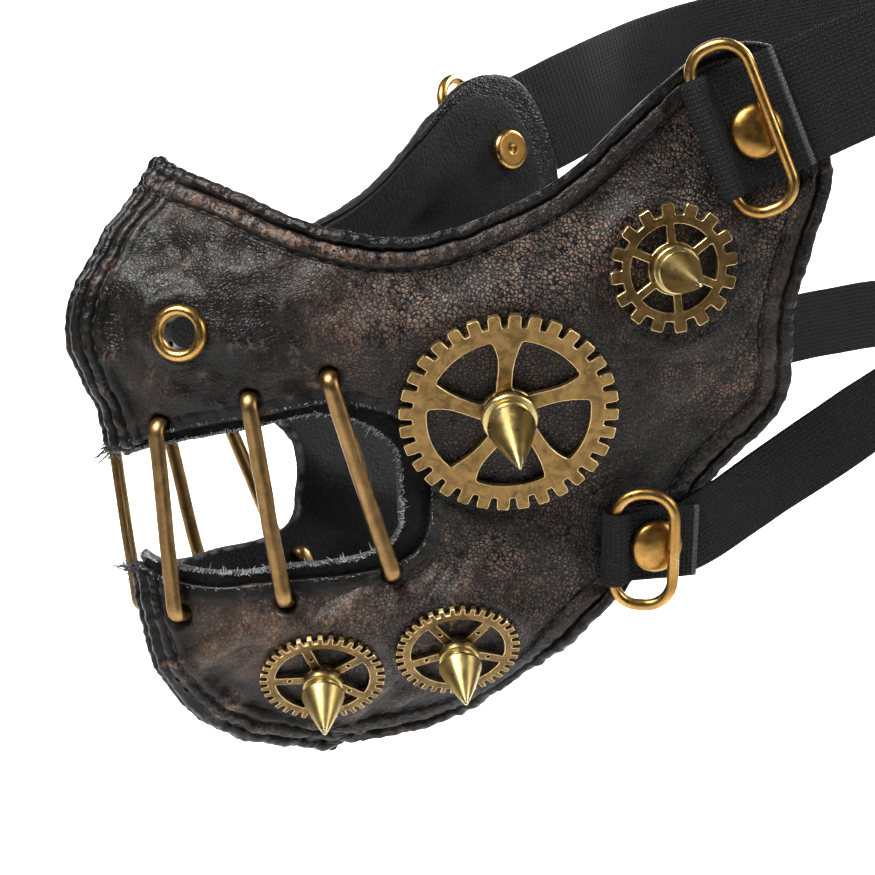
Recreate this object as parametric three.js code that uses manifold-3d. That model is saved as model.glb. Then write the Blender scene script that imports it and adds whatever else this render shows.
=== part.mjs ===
// Half-face muzzle mask: two leather panels with a barred mouth, spinning gears under cone spikes, and
// two elastic head bands folded round wire rings. Millimetres, +Z up. The face looks along -Y and the
// wearer's left is +X. The origin is the middle of the wearer's head at mouth height, under the ear
// line.
import * as THREE from "three";
import { mergeVertices } from "three/addons/utils/BufferGeometryUtils.js";
import Module from "manifold-3d";

const wasm = await Module();
wasm.setup();

// ---- driving dimensions ----
const GAP = 0.3; // between any two pieces that lie on each other
const LEATHER = 1.4; // thickness of a leather panel
const LINING = 1.0; // thickness of the knitted lining
const SKIN = LEATHER + GAP + LINING; // outer face of the leather to inner face of the lining
const SEAM_GAP = 0.2; // half the gap between the left and right panels
const FORM_DEPTH = 170; // front of the nose to the widest place of the head

// The form under the mask. Each row is one level section, from the temples down to the throat:
// y and z of its front point on the middle plane, the half width it grows to, and how blunt it starts
// (0.5 is a round front, more is a sharper wedge).
const RIBS = [
  [-99, 92, 70, 0.7],
  [-108, 68, 66, 0.7],
  [-120, 50, 63, 0.64],
  [-126, 33, 58, 0.6],
  [-118, 12, 50, 0.57],
  [-113, -13, 42, 0.5],
  [-110, -28, 37, 0.47],
  [-105, -39, 25, 0.47],
  [-96, -47, 14, 0.47],
  [-81, -52, 6, 0.5],
  [-66, -54, 2, 0.5],
];

// Side view of the mouth opening's edge and of the panel's outer edge, as [y, z]. Both run from the
// upper seam, round the rear end of the mouth, to the lower seam, and the n-th points of the two lie
// across from each other.
const SEAM = -200; // any y in front of the form: the point falls on the middle plane
const MOUTH = [
  [SEAM, 10],
  [-111, 14],
  [-98, 17],
  [-84, 20],
  [-75, 18.5],
  [-69, 15],
  [-65, 10.5],
  [-63, 5],
  [-62, -1],
  [-62.5, -7],
  [-66, -12],
  [-75, -15],
  [-88, -16.5],
  [-103, -18],
  [SEAM, -14],
];
const OUTLINE = [
  [SEAM, 68],
  [-100, 61.5],
  [-86, 54],
  [-70, 52],
  [-50, 59],
  [-30, 75],
  [-13, 89],
  [3, 87],
  [11, 62],
  [7, 26],
  [-7, 1],
  [-24, -22],
  [-40, -39],
  [-55, -49],
  [SEAM, -53.5],
];
const LEDGE = { y: -95, z: 1, share: 0.84 }; // the lining's opening is the mouth drawn in towards this point
const CELLS_ROUND = 28; // facets of a panel round the mouth
const ROWS = [0, 0.22, 0.42, 0.62, 0.8, 0.95]; // facet rows of leather and lining, out from the mouth

// Everything screwed or riveted to a panel sits on a flat of its own. y and z place its middle on the
// form, and dip and turn are how many degrees the flat leans down and forward from the form's own
// face.
const FITTINGS = {
  eyelet: { y: -111, z: 33.5, flat: 6.3, fade: 4, dip: 0, turn: 0 },
  cheek: { y: -49.5, z: 18, flat: 22.6, fade: 8, dip: 5, turn: 5 },
  temple: { y: -20.5, z: 46.5, flat: 13.7, fade: 6, dip: 5, turn: 0 },
  chin_front: { y: -79.5, z: -36, flat: 13.3, fade: 5, dip: 3, turn: 5 },
  chin_rear: { y: -54, z: -30.5, flat: 13.3, fade: 5, dip: 5, turn: 5 },
  upper_rivet: { y: -4.5, z: 73.5, flat: 17, fade: 8, dip: 0, turn: 0 },
  lower_rivet: { y: -16.5, z: -9, flat: 13, fade: 8, dip: 0, turn: 0 },
};

// A spoke is so wide at the hub and wider by its flare at the rim. Its swirl is how far it leans round.
const CHIN_GEAR = {
  ...{ tip: 12.7, root: 11.2, rim: 9.6, hub: 3.6, teeth: 36, thick: 1.2 },
  ...{ spokes: 5, spoke: 2, flare: 0, swirl: 0 },
};
const GEARS = {
  cheek: {
    ...{ tip: 22, root: 19.3, rim: 16.4, hub: 5.6, teeth: 32, thick: 1.4 },
    ...{ spokes: 5, spoke: 3.4, flare: 2.8, swirl: -0.16 },
  },
  temple: {
    ...{ tip: 13.1, root: 10.8, rim: 9.1, hub: 4.6, teeth: 16, thick: 1.4 },
    ...{ spokes: 6, spoke: 1.7, flare: 0, swirl: 0 },
  },
  chin_front: CHIN_GEAR,
  chin_rear: CHIN_GEAR,
};
const TOOTH_SHARE = 0.6; // of the pitch at the root
const TIP_SHARE = 0.48; // of the pitch at the tip
// How each gear happens to lie.
const TURN_PER_GEAR = { cheek: 1.32, temple: 0.2, chin_front: 0.3, chin_rear: 0.55 };

// Cone spikes: [radius, height] up the outside, in shares of the flange radius and of the whole length.
const SPIKE_PROFILE = [
  [0.94, 0],
  [1, 0.03],
  [0.98, 0.14],
  [0.82, 0.17],
  [0.82, 0.23],
  [1.02, 0.27],
  [0.09, 0.985],
];
const SPIKES = {
  cheek: { radius: 5.1, length: 21.5 },
  temple: { radius: 4.7, length: 17.5 },
  chin_front: { radius: 4.2, length: 13.9 },
  chin_rear: { radius: 4.2, length: 13.9 },
};
// The screw head narrows to a share of its radius at the back.
const SCREW = { shank: 1.4, head: 2.9, headHeight: 1.5, chamfer: 0.7, reach: 5, clearance: 0.3 };

// Mouth bars: side-view places of the upper and lower hole of each, front to rear.
const BARS = [
  { top: [-112.3, 15.6], bottom: [-107, -23.5] },
  { top: [-98, 21], bottom: [-89, -20.5] },
  { top: [-84.5, 25.3], bottom: [-69, -15] },
];
const ROD = { across: 1.7, deep: 1.2, stand: 1.6, clinch: 4.5, corner: 2.2 };

const STRAP = 1.2; // thickness of the elastic
const STRAPS = {
  upper: {
    width: 25,
    climb: 0.42, // rise per length along the leather
    lead: 15, // rivet to where the elastic starts to curve
    aside: 1.8, // the elastic's middle line above the rivet
    route: [
      [66, 22, 87],
      [74, 44, 95],
      [69, 72, 103],
      [42, 95, 108],
      [0, 103, 110],
    ],
    ringLong: 34.5,
  },
  lower: {
    width: 15.5,
    climb: 0.1,
    lead: 7,
    aside: 0,
    route: [
      [46, 8, 3],
      [50, 30, 17],
      [45, 54, 29],
      [25, 71, 35],
      [0, 76, 37],
    ],
    ringLong: 24,
  },
};
const WIRE = 1.2; // radius of the ring wire
const RING = { wide: 12, corner: 4, lift: THREE.MathUtils.degToRad(21) };
const FOLD_RADIUS = WIRE + GAP + STRAP / 2; // middle of the elastic round the wire
const LOW_LAYER = GAP + STRAP / 2; // middle of the lower layer above the leather
const FOLD_HEIGHT = LOW_LAYER + FOLD_RADIUS; // the wire's own height
const TOP_LAYER = LOW_LAYER + STRAP + GAP; // middle of the upper layer
const FOLD_LEAD = 8.8; // fold to rivet
const CUT_END = 18; // fold to the cut end of the elastic
const LOWER_LAYER_FROM = 7; // station where the fold comes down to the leather
const RIVET = {
  ...{ cap: 5.25, rise: 2.8, edge: 0.7, post: 1.4 },
  ...{ button: 4.6, buttonHeight: 2.2, skin: 0.5, round: 0.8 },
};
const EYELET = { bore: 3.3, wall: 0.4, flange: 5.8, rise: 1.7, curl: 4.9, washer: 6.2, washerThick: 0.5 };

const BACK_FACE = -SKIN - GAP; // where a piece behind the lining starts

// ---- materials ----
const finish = (color, roughness, metalness) =>
  new THREE.MeshStandardMaterial({ color, roughness, metalness });
const FINISH = {
  leather: () => finish(0x2c2724, 0.6, 0),
  lining: () => finish(0x17181a, 0.95, 0),
  elastic: () => finish(0x141416, 0.9, 0),
  bronze: () => finish(0x7a5c2e, 0.42, 1),
  brass: () => finish(0xb08d3c, 0.28, 1),
  shiny: () => finish(0xc08a35, 0.2, 1),
  steel: () => finish(0x8a8a86, 0.35, 1),
};

// ---- small helpers ----
const vec = (x, y, z) => new THREE.Vector3(x, y, z);
const smooth = (t) => THREE.MathUtils.smoothstep(t, 0, 1);

// Catmull-Rom through rows of numbers, at a running index.
function alongRows(rows, at) {
  const last = rows.length - 1;
  const i = Math.min(Math.floor(Math.max(at, 0)), last - 1);
  const t = Math.min(Math.max(at, 0), last) - i;
  const row = (k) => {
    if (k < 0) return rows[0].map((value, c) => 2 * value - rows[1][c]);
    if (k > last) return rows[last].map((value, c) => 2 * value - rows[last - 1][c]);
    return rows[k];
  };
  const [a, b, c, d] = [row(i - 1), row(i), row(i + 1), row(i + 2)];
  const cubic = (k) => 3 * b[k] - a[k] - 3 * c[k] + d[k];
  return b.map((_, k) => {
    const bend = 2 * a[k] - 5 * b[k] + 4 * c[k] - d[k];
    return 0.5 * (2 * b[k] + t * (c[k] - a[k] + t * (bend + t * cubic(k))));
  });
}

// Moves every vertex of a geometry by a rule and hands back one closed body that faces out.
function reshape(geometry, place) {
  const at = geometry.getAttribute("position");
  for (let i = 0; i < at.count; i++) {
    const to = place(vec(at.getX(i), at.getY(i), at.getZ(i)));
    at.setXYZ(i, to.x, to.y, to.z);
  }
  return closed(geometry);
}

function closed(geometry) {
  const bare = new THREE.BufferGeometry();
  bare.setAttribute("position", geometry.getAttribute("position"));
  bare.setIndex(geometry.index);
  const merged = mergeVertices(bare, 1e-3);
  const index = merged.index.array;
  const kept = [];
  for (let i = 0; i < index.length; i += 3) {
    const [a, b, c] = [index[i], index[i + 1], index[i + 2]];
    if (a !== b && b !== c && c !== a) kept.push(a, b, c);
  }
  if (signedVolume(merged, kept) < 0) {
    for (let i = 0; i < kept.length; i += 3) [kept[i + 1], kept[i + 2]] = [kept[i + 2], kept[i + 1]];
  }
  merged.setIndex(kept);
  return merged;
}

function signedVolume(geometry, index) {
  const at = geometry.getAttribute("position");
  const corner = (i) => new THREE.Vector3().fromBufferAttribute(at, i);
  let sum = 0;
  for (let i = 0; i < index.length; i += 3) {
    sum += corner(index[i]).dot(corner(index[i + 1]).cross(corner(index[i + 2])));
  }
  return sum / 6;
}

function solidOf(geometry) {
  const body = closed(geometry.index ? geometry : mergeVertices(geometry));
  return new wasm.Manifold(
    new wasm.Mesh({
      numProp: 3,
      vertProperties: new Float32Array(body.getAttribute("position").array),
      triVerts: new Uint32Array(body.index.array),
    }),
  );
}

function geometryOf(solid) {
  const mesh = solid.getMesh();
  const geometry = new THREE.BufferGeometry();
  geometry.setAttribute("position", new THREE.BufferAttribute(mesh.vertProperties, 3));
  geometry.setIndex(new THREE.BufferAttribute(mesh.triVerts, 1));
  return geometry;
}

// Cuts the tools away and drops loose crumbs.
function cut(geometry, tools) {
  const left = tools.reduce((body, tool) => body.subtract(solidOf(tool)), solidOf(geometry));
  const [largest] = left.decompose().sort((a, b) => b.volume() - a.volume());
  return geometryOf(largest);
}

function mirrored(geometry) {
  return reshape(geometry.clone(), (p) => p.setX(-p.x));
}

// ---- the form ----
// w is the share of the half width, 0 on the middle plane; s is the running index down the ribs.
function formPoint(w, s) {
  const [front, z, half, blunt] = alongRows(RIBS, s);
  const share = Math.min(Math.abs(w), 0.999) ** (1 / blunt);
  return vec(half * w, front + FORM_DEPTH * (1 - Math.sqrt(1 - share)), z);
}

// The same place from a side view: y and z to w and s.
function onForm(y, z) {
  let [low, high] = [0, RIBS.length - 1];
  for (let step = 0; step < 40; step++) {
    const middle = (low + high) / 2;
    if (alongRows(RIBS, middle)[1] > z) low = middle;
    else high = middle;
  }
  const [front, , , blunt] = alongRows(RIBS, low);
  const back = Math.max(y - front, 0) / FORM_DEPTH;
  return [(1 - (1 - back) ** 2) ** blunt, low];
}

function normalOf(surface, w, s) {
  const e = 0.01;
  const across = surface(w + e, s).sub(surface(Math.max(w - e, 0), s));
  const down = surface(w, s + e).sub(surface(w, s - e));
  const out = down.cross(across).normalize();
  if (w <= e) out.setX(0).normalize(); // the panel meets its mirror image squarely
  return out;
}

const flats = Object.values(FITTINGS).map((fitting) => {
  const [w, s] = onForm(fitting.y, fitting.z);
  const level = vec(0, 0, 1).cross(normalOf(formPoint, w, s)).normalize();
  const normal = normalOf(formPoint, w, s).applyAxisAngle(level, THREE.MathUtils.degToRad(fitting.dip));
  normal.applyAxisAngle(vec(0, 0, 1), -THREE.MathUtils.degToRad(fitting.turn));
  return { ...fitting, centre: formPoint(w, s), normal };
});
const flatOf = Object.fromEntries(Object.keys(FITTINGS).map((name, i) => [name, flats[i]]));

// The leather's outer face: the form, pressed flat under each fitting.
function facePoint(w, s) {
  const start = formPoint(w, s);
  const parts = flats.map((flat) => {
    const from = start.clone().sub(flat.centre);
    const height = from.dot(flat.normal);
    const radius = Math.sqrt(Math.max(from.lengthSq() - height * height, 0));
    const share = Math.abs(height) > flat.flat ? 0 : 1 - smooth((radius - flat.flat) / flat.fade);
    return { height, share, normal: flat.normal };
  });
  const moved = start.clone();
  parts.forEach((part, i) => {
    const others = parts.reduce((left, other, k) => (k === i ? left : left * (1 - other.share)), 1);
    moved.addScaledVector(part.normal, -part.height * part.share * others);
  });
  return moved;
}

const mouthEdge = MOUTH.map(([y, z]) => onForm(y, z));
const ledgeEdge = MOUTH.map(([y, z]) => {
  const inward = y === SEAM ? SEAM : LEDGE.y + (y - LEDGE.y) * LEDGE.share;
  return onForm(inward, LEDGE.z + (z - LEDGE.z) * LEDGE.share);
});
const outerEdge = OUTLINE.map(([y, z]) => onForm(y, z));

// A place on a panel: u runs round the mouth from seam to seam, and v from the leather's mouth edge at
// 0 to its outer edge at 1. Below 0 it goes on to the lining's own mouth edge at -1.
function panelPlace(u, v) {
  const at = u * (MOUTH.length - 1);
  const near = alongRows(mouthEdge, at);
  const far = alongRows(v < 0 ? ledgeEdge : outerEdge, at);
  const w = near[0] + (far[0] - near[0]) * Math.abs(v);
  return [u === 0 || u === 1 ? 0 : Math.max(w, 0), near[1] + (far[1] - near[1]) * Math.abs(v)];
}

// One sheet of a panel between two depths below the leather's outer face, on the given rows of v. A
// block's two large faces have opposite diagonals, so sheets that lie on each other run opposite ways
// round, and their facets match.
function sheet(rows, shallow, deep, way) {
  const block = new THREE.BoxGeometry(1, rows.length - 1, 1, CELLS_ROUND, rows.length - 1, 1);
  return reshape(block, (p) => {
    const v = rows[Math.round(p.y + (rows.length - 1) / 2)];
    const [w, s] = panelPlace(way * p.x + 0.5, v);
    const depth = p.z > 0 ? shallow : deep;
    const place = facePoint(w, s).addScaledVector(normalOf(facePoint, w, s), -depth);
    return place.setX(Math.max(place.x, 0) + SEAM_GAP);
  });
}

// ---- placing things on the panel ----
// A frame on a flat: origin on the leather, z out of it, and x the way the fitting points.
function frameOn(flat, along) {
  const z = flat.normal.clone();
  const x = along.clone().addScaledVector(z, -along.dot(z)).normalize();
  const y = z.clone().cross(x);
  const origin = flat.centre.clone().setX(flat.centre.x + SEAM_GAP);
  return new THREE.Matrix4().makeBasis(x, y, z).setPosition(origin);
}
const REARWARD = vec(0, 1, 0);
const fittingFrame = (name) => frameOn(flatOf[name], REARWARD);

// Turns a profile of [radius, height] about z.
function turned(profile, segments) {
  const points = profile.map(([r, h]) => new THREE.Vector2(r, h));
  return new THREE.LatheGeometry(points, segments).rotateX(Math.PI / 2);
}

// A straight cutter along z of a frame, from one height to another above the leather.
function cutter(frame, radius, low, high, sides) {
  const rod = new THREE.CylinderGeometry(radius, radius, high - low, sides).rotateX(Math.PI / 2);
  return rod.translate(0, 0, (low + high) / 2).applyMatrix4(frame);
}
const DRILL_REACH = 6; // each way from the leather's face
const drill = (frame, radius, sides) => cutter(frame, radius, -DRILL_REACH, DRILL_REACH, sides);

// Room over and under a fitting, so that the panel's facets stay clear of what lies on them. A seat is
// a many-sided cut, so it is a little wider than the round piece.
const SEAT = { above: 1.08, below: 1.1, reach: 4 };
const seatAbove = (frame, radius) => cutter(frame, radius * SEAT.above, GAP / 2, SEAT.reach, 10);
const seatBelow = (frame, radius) =>
  cutter(frame, radius * SEAT.below, BACK_FACE - SEAT.reach, BACK_FACE + GAP / 2, 8);

// ---- gears ----
function gearShape(gear) {
  const pitch = (2 * Math.PI) / gear.teeth;
  const outline = [];
  for (let i = 0; i < gear.teeth; i++) {
    const middle = i * pitch;
    const corners = [
      [gear.root, -TOOTH_SHARE / 2],
      [gear.tip, -TIP_SHARE / 2],
      [gear.tip, TIP_SHARE / 2],
      [gear.root, TOOTH_SHARE / 2],
    ];
    for (const [radius, share] of corners) {
      const angle = middle + share * pitch;
      outline.push(new THREE.Vector2(radius * Math.cos(angle), radius * Math.sin(angle)));
    }
  }
  const shape = new THREE.Shape(outline);
  shape.holes.push(...windows(gear));
  const bore = SCREW.shank + SCREW.clearance;
  shape.holes.push(new THREE.Path().absarc(0, 0, bore, 0, 2 * Math.PI, true));
  return shape;
}

// The openings between the spokes. A swirled spoke leans round as it goes out.
function windows(gear) {
  const WINDOW_STEPS = 2;
  const pitch = (2 * Math.PI) / gear.spokes;
  const ring = [];
  for (let k = 0; k < gear.spokes; k++) {
    const corners = [];
    const side = (radius, edge) => {
      const swept = gear.swirl * ((radius - gear.hub) / (gear.rim - gear.hub)) ** 2;
      const wide = gear.spoke + (gear.flare * (radius - gear.hub)) / (gear.rim - gear.hub);
      return k * pitch + swept + edge * (pitch / 2 - wide / 2 / radius);
    };
    for (let i = 0; i <= WINDOW_STEPS; i++) {
      const radius = gear.hub + ((gear.rim - gear.hub) * i) / WINDOW_STEPS;
      corners.push([radius, side(radius, -1)]);
    }
    for (let i = 1; i < WINDOW_STEPS; i++) {
      const t = i / WINDOW_STEPS;
      corners.push([gear.rim, side(gear.rim, -1) * (1 - t) + side(gear.rim, 1) * t]);
    }
    for (let i = WINDOW_STEPS; i >= 0; i--) {
      const radius = gear.hub + ((gear.rim - gear.hub) * i) / WINDOW_STEPS;
      corners.push([radius, side(radius, 1)]);
    }
    const points = corners.map(([r, a]) => new THREE.Vector2(r * Math.cos(a), r * Math.sin(a)));
    ring.push(new THREE.Path(points.reverse()));
  }
  return ring;
}

function gearGeometry(name) {
  const gear = GEARS[name];
  const plate = new THREE.ExtrudeGeometry(gearShape(gear), {
    depth: gear.thick,
    bevelEnabled: false,
    curveSegments: 4,
  });
  return closed(plate.rotateZ(TURN_PER_GEAR[name]).translate(0, 0, GAP).applyMatrix4(fittingFrame(name)));
}

// ---- spikes and their screws ----
const spikeBase = (name) => GAP + GEARS[name].thick + GAP;

function spikeGeometry(name) {
  const { radius, length } = SPIKES[name];
  const bore = SCREW.shank + SCREW.clearance;
  const deep = SCREW.reach + SCREW.clearance;
  const outside = SPIKE_PROFILE.map(([r, h]) => [r * radius, h * length]);
  const profile = [[0, deep], [bore, deep], [bore, 0], ...outside, [0, length]];
  return closed(turned(profile, 9).translate(0, 0, spikeBase(name)).applyMatrix4(fittingFrame(name)));
}

function screwGeometry(name) {
  const top = spikeBase(name) + SCREW.reach;
  const underHead = BACK_FACE - SCREW.headHeight;
  const profile = [
    [0, underHead],
    [SCREW.head * SCREW.chamfer, underHead],
    [SCREW.head, underHead + SCREW.headHeight / 2],
    [SCREW.head, BACK_FACE],
    [SCREW.shank, BACK_FACE],
    [SCREW.shank, top],
    [0, top],
  ];
  return closed(turned(profile, 8).applyMatrix4(fittingFrame(name)));
}

// ---- eyelets ----
function eyeletGeometry() {
  const outer = EYELET.bore + EYELET.wall;
  const washerBack = BACK_FACE - EYELET.washerThick;
  const profile = [
    [EYELET.bore, washerBack - GAP],
    [EYELET.bore, EYELET.rise * 0.6],
    [EYELET.bore * 0.55 + EYELET.flange * 0.45, EYELET.rise],
    [EYELET.flange - 0.4, EYELET.rise * 0.7],
    [EYELET.flange, GAP],
    [outer, GAP],
    [outer, washerBack - GAP],
    [EYELET.curl, washerBack - GAP],
    [EYELET.curl, washerBack - GAP - EYELET.wall],
    [EYELET.bore, washerBack - GAP - EYELET.wall],
    [EYELET.bore, washerBack - GAP],
  ];
  return closed(turned(profile, 12).applyMatrix4(fittingFrame("eyelet")));
}

function eyeletWasherGeometry() {
  const inner = EYELET.bore + EYELET.wall + GAP;
  const low = BACK_FACE - EYELET.washerThick;
  const profile = [
    [inner, low],
    [EYELET.washer, low],
    [EYELET.washer, BACK_FACE],
    [inner, BACK_FACE],
    [inner, low],
  ];
  return closed(turned(profile, 12).applyMatrix4(fittingFrame("eyelet")));
}

// ---- mouth bars ----
function barEnds({ top, bottom }) {
  return [top, bottom].map(([y, z]) => {
    const [w, s] = onForm(y, z);
    const place = facePoint(w, s);
    return { place: place.setX(place.x + SEAM_GAP), out: normalOf(facePoint, w, s) };
  });
}

// The rod's way: clinched flat inside, out through the upper hole, straight across the mouth and back in.
function barRoute(bar) {
  const [upper, lower] = barEnds(bar);
  const across = upper.place.clone().sub(lower.place).normalize();
  const inside = SKIN + GAP + ROD.deep;
  const outside = ROD.stand + ROD.deep;
  const at = (end, height, slide) =>
    end.place.clone().addScaledVector(end.out, height).addScaledVector(across, slide);
  return [
    at(upper, -inside, ROD.clinch),
    at(upper, -inside, 0),
    at(upper, outside, 0),
    at(lower, outside, 0),
    at(lower, -inside, 0),
    at(lower, -inside, -ROD.clinch),
  ];
}

// Rounds the corners of a route and gives points along it.
function rounded(route, radius, steps) {
  const points = [route[0]];
  for (let i = 1; i < route.length - 1; i++) {
    const before = route[i - 1].clone().sub(route[i]);
    const after = route[i + 1].clone().sub(route[i]);
    const reach = Math.min(radius, before.length() / 2.2, after.length() / 2.2);
    const start = route[i].clone().addScaledVector(before.normalize(), reach);
    const end = route[i].clone().addScaledVector(after.normalize(), reach);
    points.push(...new THREE.QuadraticBezierCurve3(start, route[i], end).getPoints(steps));
  }
  return [...points, route[route.length - 1]];
}

function barGeometry(bar, allowance) {
  const CORNER_STEPS = 2;
  const SIDES = 6;
  const route = rounded(barRoute(bar), ROD.corner, CORNER_STEPS);
  const [upper, lower] = barEnds(bar);
  const side = upper.place.clone().sub(lower.place).cross(upper.out.clone().add(lower.out)).normalize();
  const rod = new THREE.CylinderGeometry(1, 1, route.length - 1, SIDES, route.length - 1);
  return reshape(rod, (p) => {
    const i = Math.round(p.y + (route.length - 1) / 2);
    const ahead = route[Math.min(i + 1, route.length - 1)].clone().sub(route[Math.max(i - 1, 0)]).normalize();
    const deep = side.clone().cross(ahead).normalize();
    const place = route[i].clone().addScaledVector(side, p.x * (ROD.across + allowance));
    return place.addScaledVector(deep, p.z * (ROD.deep + allowance));
  });
}

// ---- straps, rings and rivets ----
// The strap's own frame on its flat: x towards the back of the head, origin at the rivet.
function strapFrame(name) {
  const climb = STRAPS[name].climb;
  return frameOn(flatOf[`${name}_rivet`], vec(0, 1, climb));
}

// Middle line of the elastic near one end, as [along, height] with the rivet at 0: the cut end first,
// then the fold round the wire, then the lower layer on its way out.
function foldLine(lead) {
  const FOLD_STEPS = 6;
  const END_ANGLE = THREE.MathUtils.degToRad(40);
  const START_ANGLE = THREE.MathUtils.degToRad(270);
  const line = [[CUT_END - FOLD_LEAD, TOP_LAYER], [-3, TOP_LAYER]];
  line.push([3.3 - FOLD_LEAD, TOP_LAYER]);
  for (let i = 0; i <= FOLD_STEPS; i++) {
    const angle = END_ANGLE + ((START_ANGLE - END_ANGLE) * i) / FOLD_STEPS;
    line.push([FOLD_RADIUS * Math.cos(angle) - FOLD_LEAD, FOLD_HEIGHT + FOLD_RADIUS * Math.sin(angle)]);
  }
  line.push([-3, LOW_LAYER], [lead - 4, LOW_LAYER], [lead, LOW_LAYER]);
  return line;
}

// Stations of the whole band from the left cut end to the right one: place, width direction and
// outward direction.
function bandStations(name) {
  const LOOP_STEPS = 13;
  const frame = strapFrame(name);
  const padAcross = vec(0, 1, 0).transformDirection(frame);
  const padOut = vec(0, 0, 1).transformDirection(frame);
  const { lead, aside } = STRAPS[name];
  const near = foldLine(lead).map(([along, height]) => vec(along, aside, height).applyMatrix4(frame));
  const leave = near[near.length - 1];
  const before = near[near.length - 2];
  const half = [before, leave, ...STRAPS[name].route.map((p) => vec(...p))];
  const mirrorHalf = half.slice(0, -1).reverse().map((p) => vec(-p.x, p.y, p.z));
  const loop = new THREE.CatmullRomCurve3([...half, ...mirrorHalf], false, "centripetal");
  const total = half.length * 2 - 2;
  const stations = near.map((place, i) => {
    const ahead = near[Math.min(i + 1, near.length - 1)].clone().sub(near[Math.max(i - 1, 0)]).normalize();
    return { place, across: padAcross, out: padAcross.clone().cross(ahead).negate() };
  });
  for (let i = 1; i <= LOOP_STEPS; i++) {
    const t = (1 + ((total / 2 - 1) * i) / LOOP_STEPS) / total;
    const place = loop.getPoint(t);
    const ahead = loop.getTangent(t);
    const level = ahead.clone().cross(vec(0, 0, 1)).normalize();
    const share = smooth(i / (LOOP_STEPS * 0.5));
    const out = padOut.clone().lerp(level, share);
    out.addScaledVector(ahead, -out.dot(ahead)).normalize();
    stations.push({ place, across: out.clone().cross(ahead).normalize(), out: out.clone() });
  }
  return stations;
}

function bandGeometry(name, allowance, from = 0) {
  const leftHalf = bandStations(name).slice(from);
  const flip = (v) => vec(-v.x, v.y, v.z);
  const rightHalf = leftHalf
    .slice(0, -1)
    .reverse()
    .map(({ place, across, out }) => ({ place: flip(place), across: flip(across), out: flip(out) }));
  const stations = [...leftHalf, ...rightHalf];
  const last = stations.length - 1;
  const block = new THREE.BoxGeometry(last, 1, 1, last, 1, 1);
  return reshape(block, (p) => {
    const { place, across, out } = stations[Math.round(p.x + last / 2)];
    const width = p.y * (STRAPS[name].width + 2 * allowance);
    return place.clone().addScaledVector(across, width).addScaledVector(out, p.z * (STRAP + 2 * allowance));
  });
}

// Middle line of a ring: a rounded rectangle, by angle. Its first long side lies on y and is the hinge.
function ringGeometry(name) {
  const STEPS_ROUND = 16;
  const long = STRAPS[name].ringLong / 2 - RING.corner;
  const wide = RING.wide / 2 - RING.corner;
  const torus = new THREE.TorusGeometry(RING.corner, WIRE, 6, STEPS_ROUND);
  const ring = reshape(torus, (p) => {
    const angle = Math.atan2(p.y, p.x);
    const [cos, sin] = [Math.cos(angle), Math.sin(angle)];
    const flatEnd = (value) => (Math.abs(value) < 1e-6 ? 0 : Math.sign(value));
    return vec(p.x + flatEnd(cos) * wide + RING.wide / 2, p.y + flatEnd(sin) * long, p.z);
  });
  const place = new THREE.Matrix4().makeRotationY(-RING.lift);
  place.setPosition(-FOLD_LEAD, STRAPS[name].aside, FOLD_HEIGHT);
  return ring.applyMatrix4(place).applyMatrix4(strapFrame(name));
}

function rivetCapGeometry(name) {
  const DOME_STEPS = 3;
  const low = TOP_LAYER + STRAP / 2 + GAP;
  const end = BACK_FACE - RIVET.buttonHeight + RIVET.skin + GAP;
  const profile = [
    [0, end],
    [RIVET.post, end],
    [RIVET.post, low],
    [RIVET.cap, low],
    [RIVET.cap, low + RIVET.edge],
  ];
  for (let i = 1; i <= DOME_STEPS; i++) {
    const angle = (Math.PI / 2) * (i / DOME_STEPS);
    const rise = (RIVET.rise - RIVET.edge) * Math.sin(angle);
    profile.push([i === DOME_STEPS ? 0 : RIVET.cap * Math.cos(angle), low + RIVET.edge + rise]);
  }
  return closed(turned(profile, 12).applyMatrix4(strapFrame(name)));
}

function rivetBackGeometry(name) {
  const bore = RIVET.post + GAP;
  const low = BACK_FACE - RIVET.buttonHeight;
  const profile = [
    [0, low],
    [RIVET.button - RIVET.round, low],
    [RIVET.button, low + RIVET.round],
    [RIVET.button, BACK_FACE],
    [bore, BACK_FACE],
    [bore, low + RIVET.skin],
    [0, low + RIVET.skin],
  ];
  return closed(turned(profile, 12).applyMatrix4(strapFrame(name)));
}

// ---- assembly ----
const mask = new THREE.Group();

function add(name, geometry, material) {
  const mesh = new THREE.Mesh(geometry, material);
  mesh.name = name;
  mask.add(mesh);
}

function addPair(stem, tail, geometry, material) {
  add(`${stem}_left${tail}`, geometry, material());
  add(`${stem}_right${tail}`, mirrored(geometry), material());
}

const gearNames = Object.keys(GEARS);
const strapNames = Object.keys(STRAPS);
const postHoles = (name) => drill(strapFrame(name), RIVET.post + GAP, 6);
const eyelet = fittingFrame("eyelet");
const clearances = [
  ...gearNames.flatMap((name) => [
    drill(fittingFrame(name), SCREW.shank + SCREW.clearance, 6),
    seatAbove(fittingFrame(name), GEARS[name].tip),
    seatBelow(fittingFrame(name), SCREW.head),
  ]),
  ...strapNames.flatMap((name) => [
    postHoles(name),
    seatBelow(strapFrame(name), RIVET.button),
    bandGeometry(name, GAP, LOWER_LAYER_FROM),
  ]),
  drill(eyelet, EYELET.bore + EYELET.wall + GAP, 10),
  seatAbove(eyelet, EYELET.flange),
  seatBelow(eyelet, EYELET.washer),
  ...BARS.map((bar) => barGeometry(bar, GAP)),
];

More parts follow.
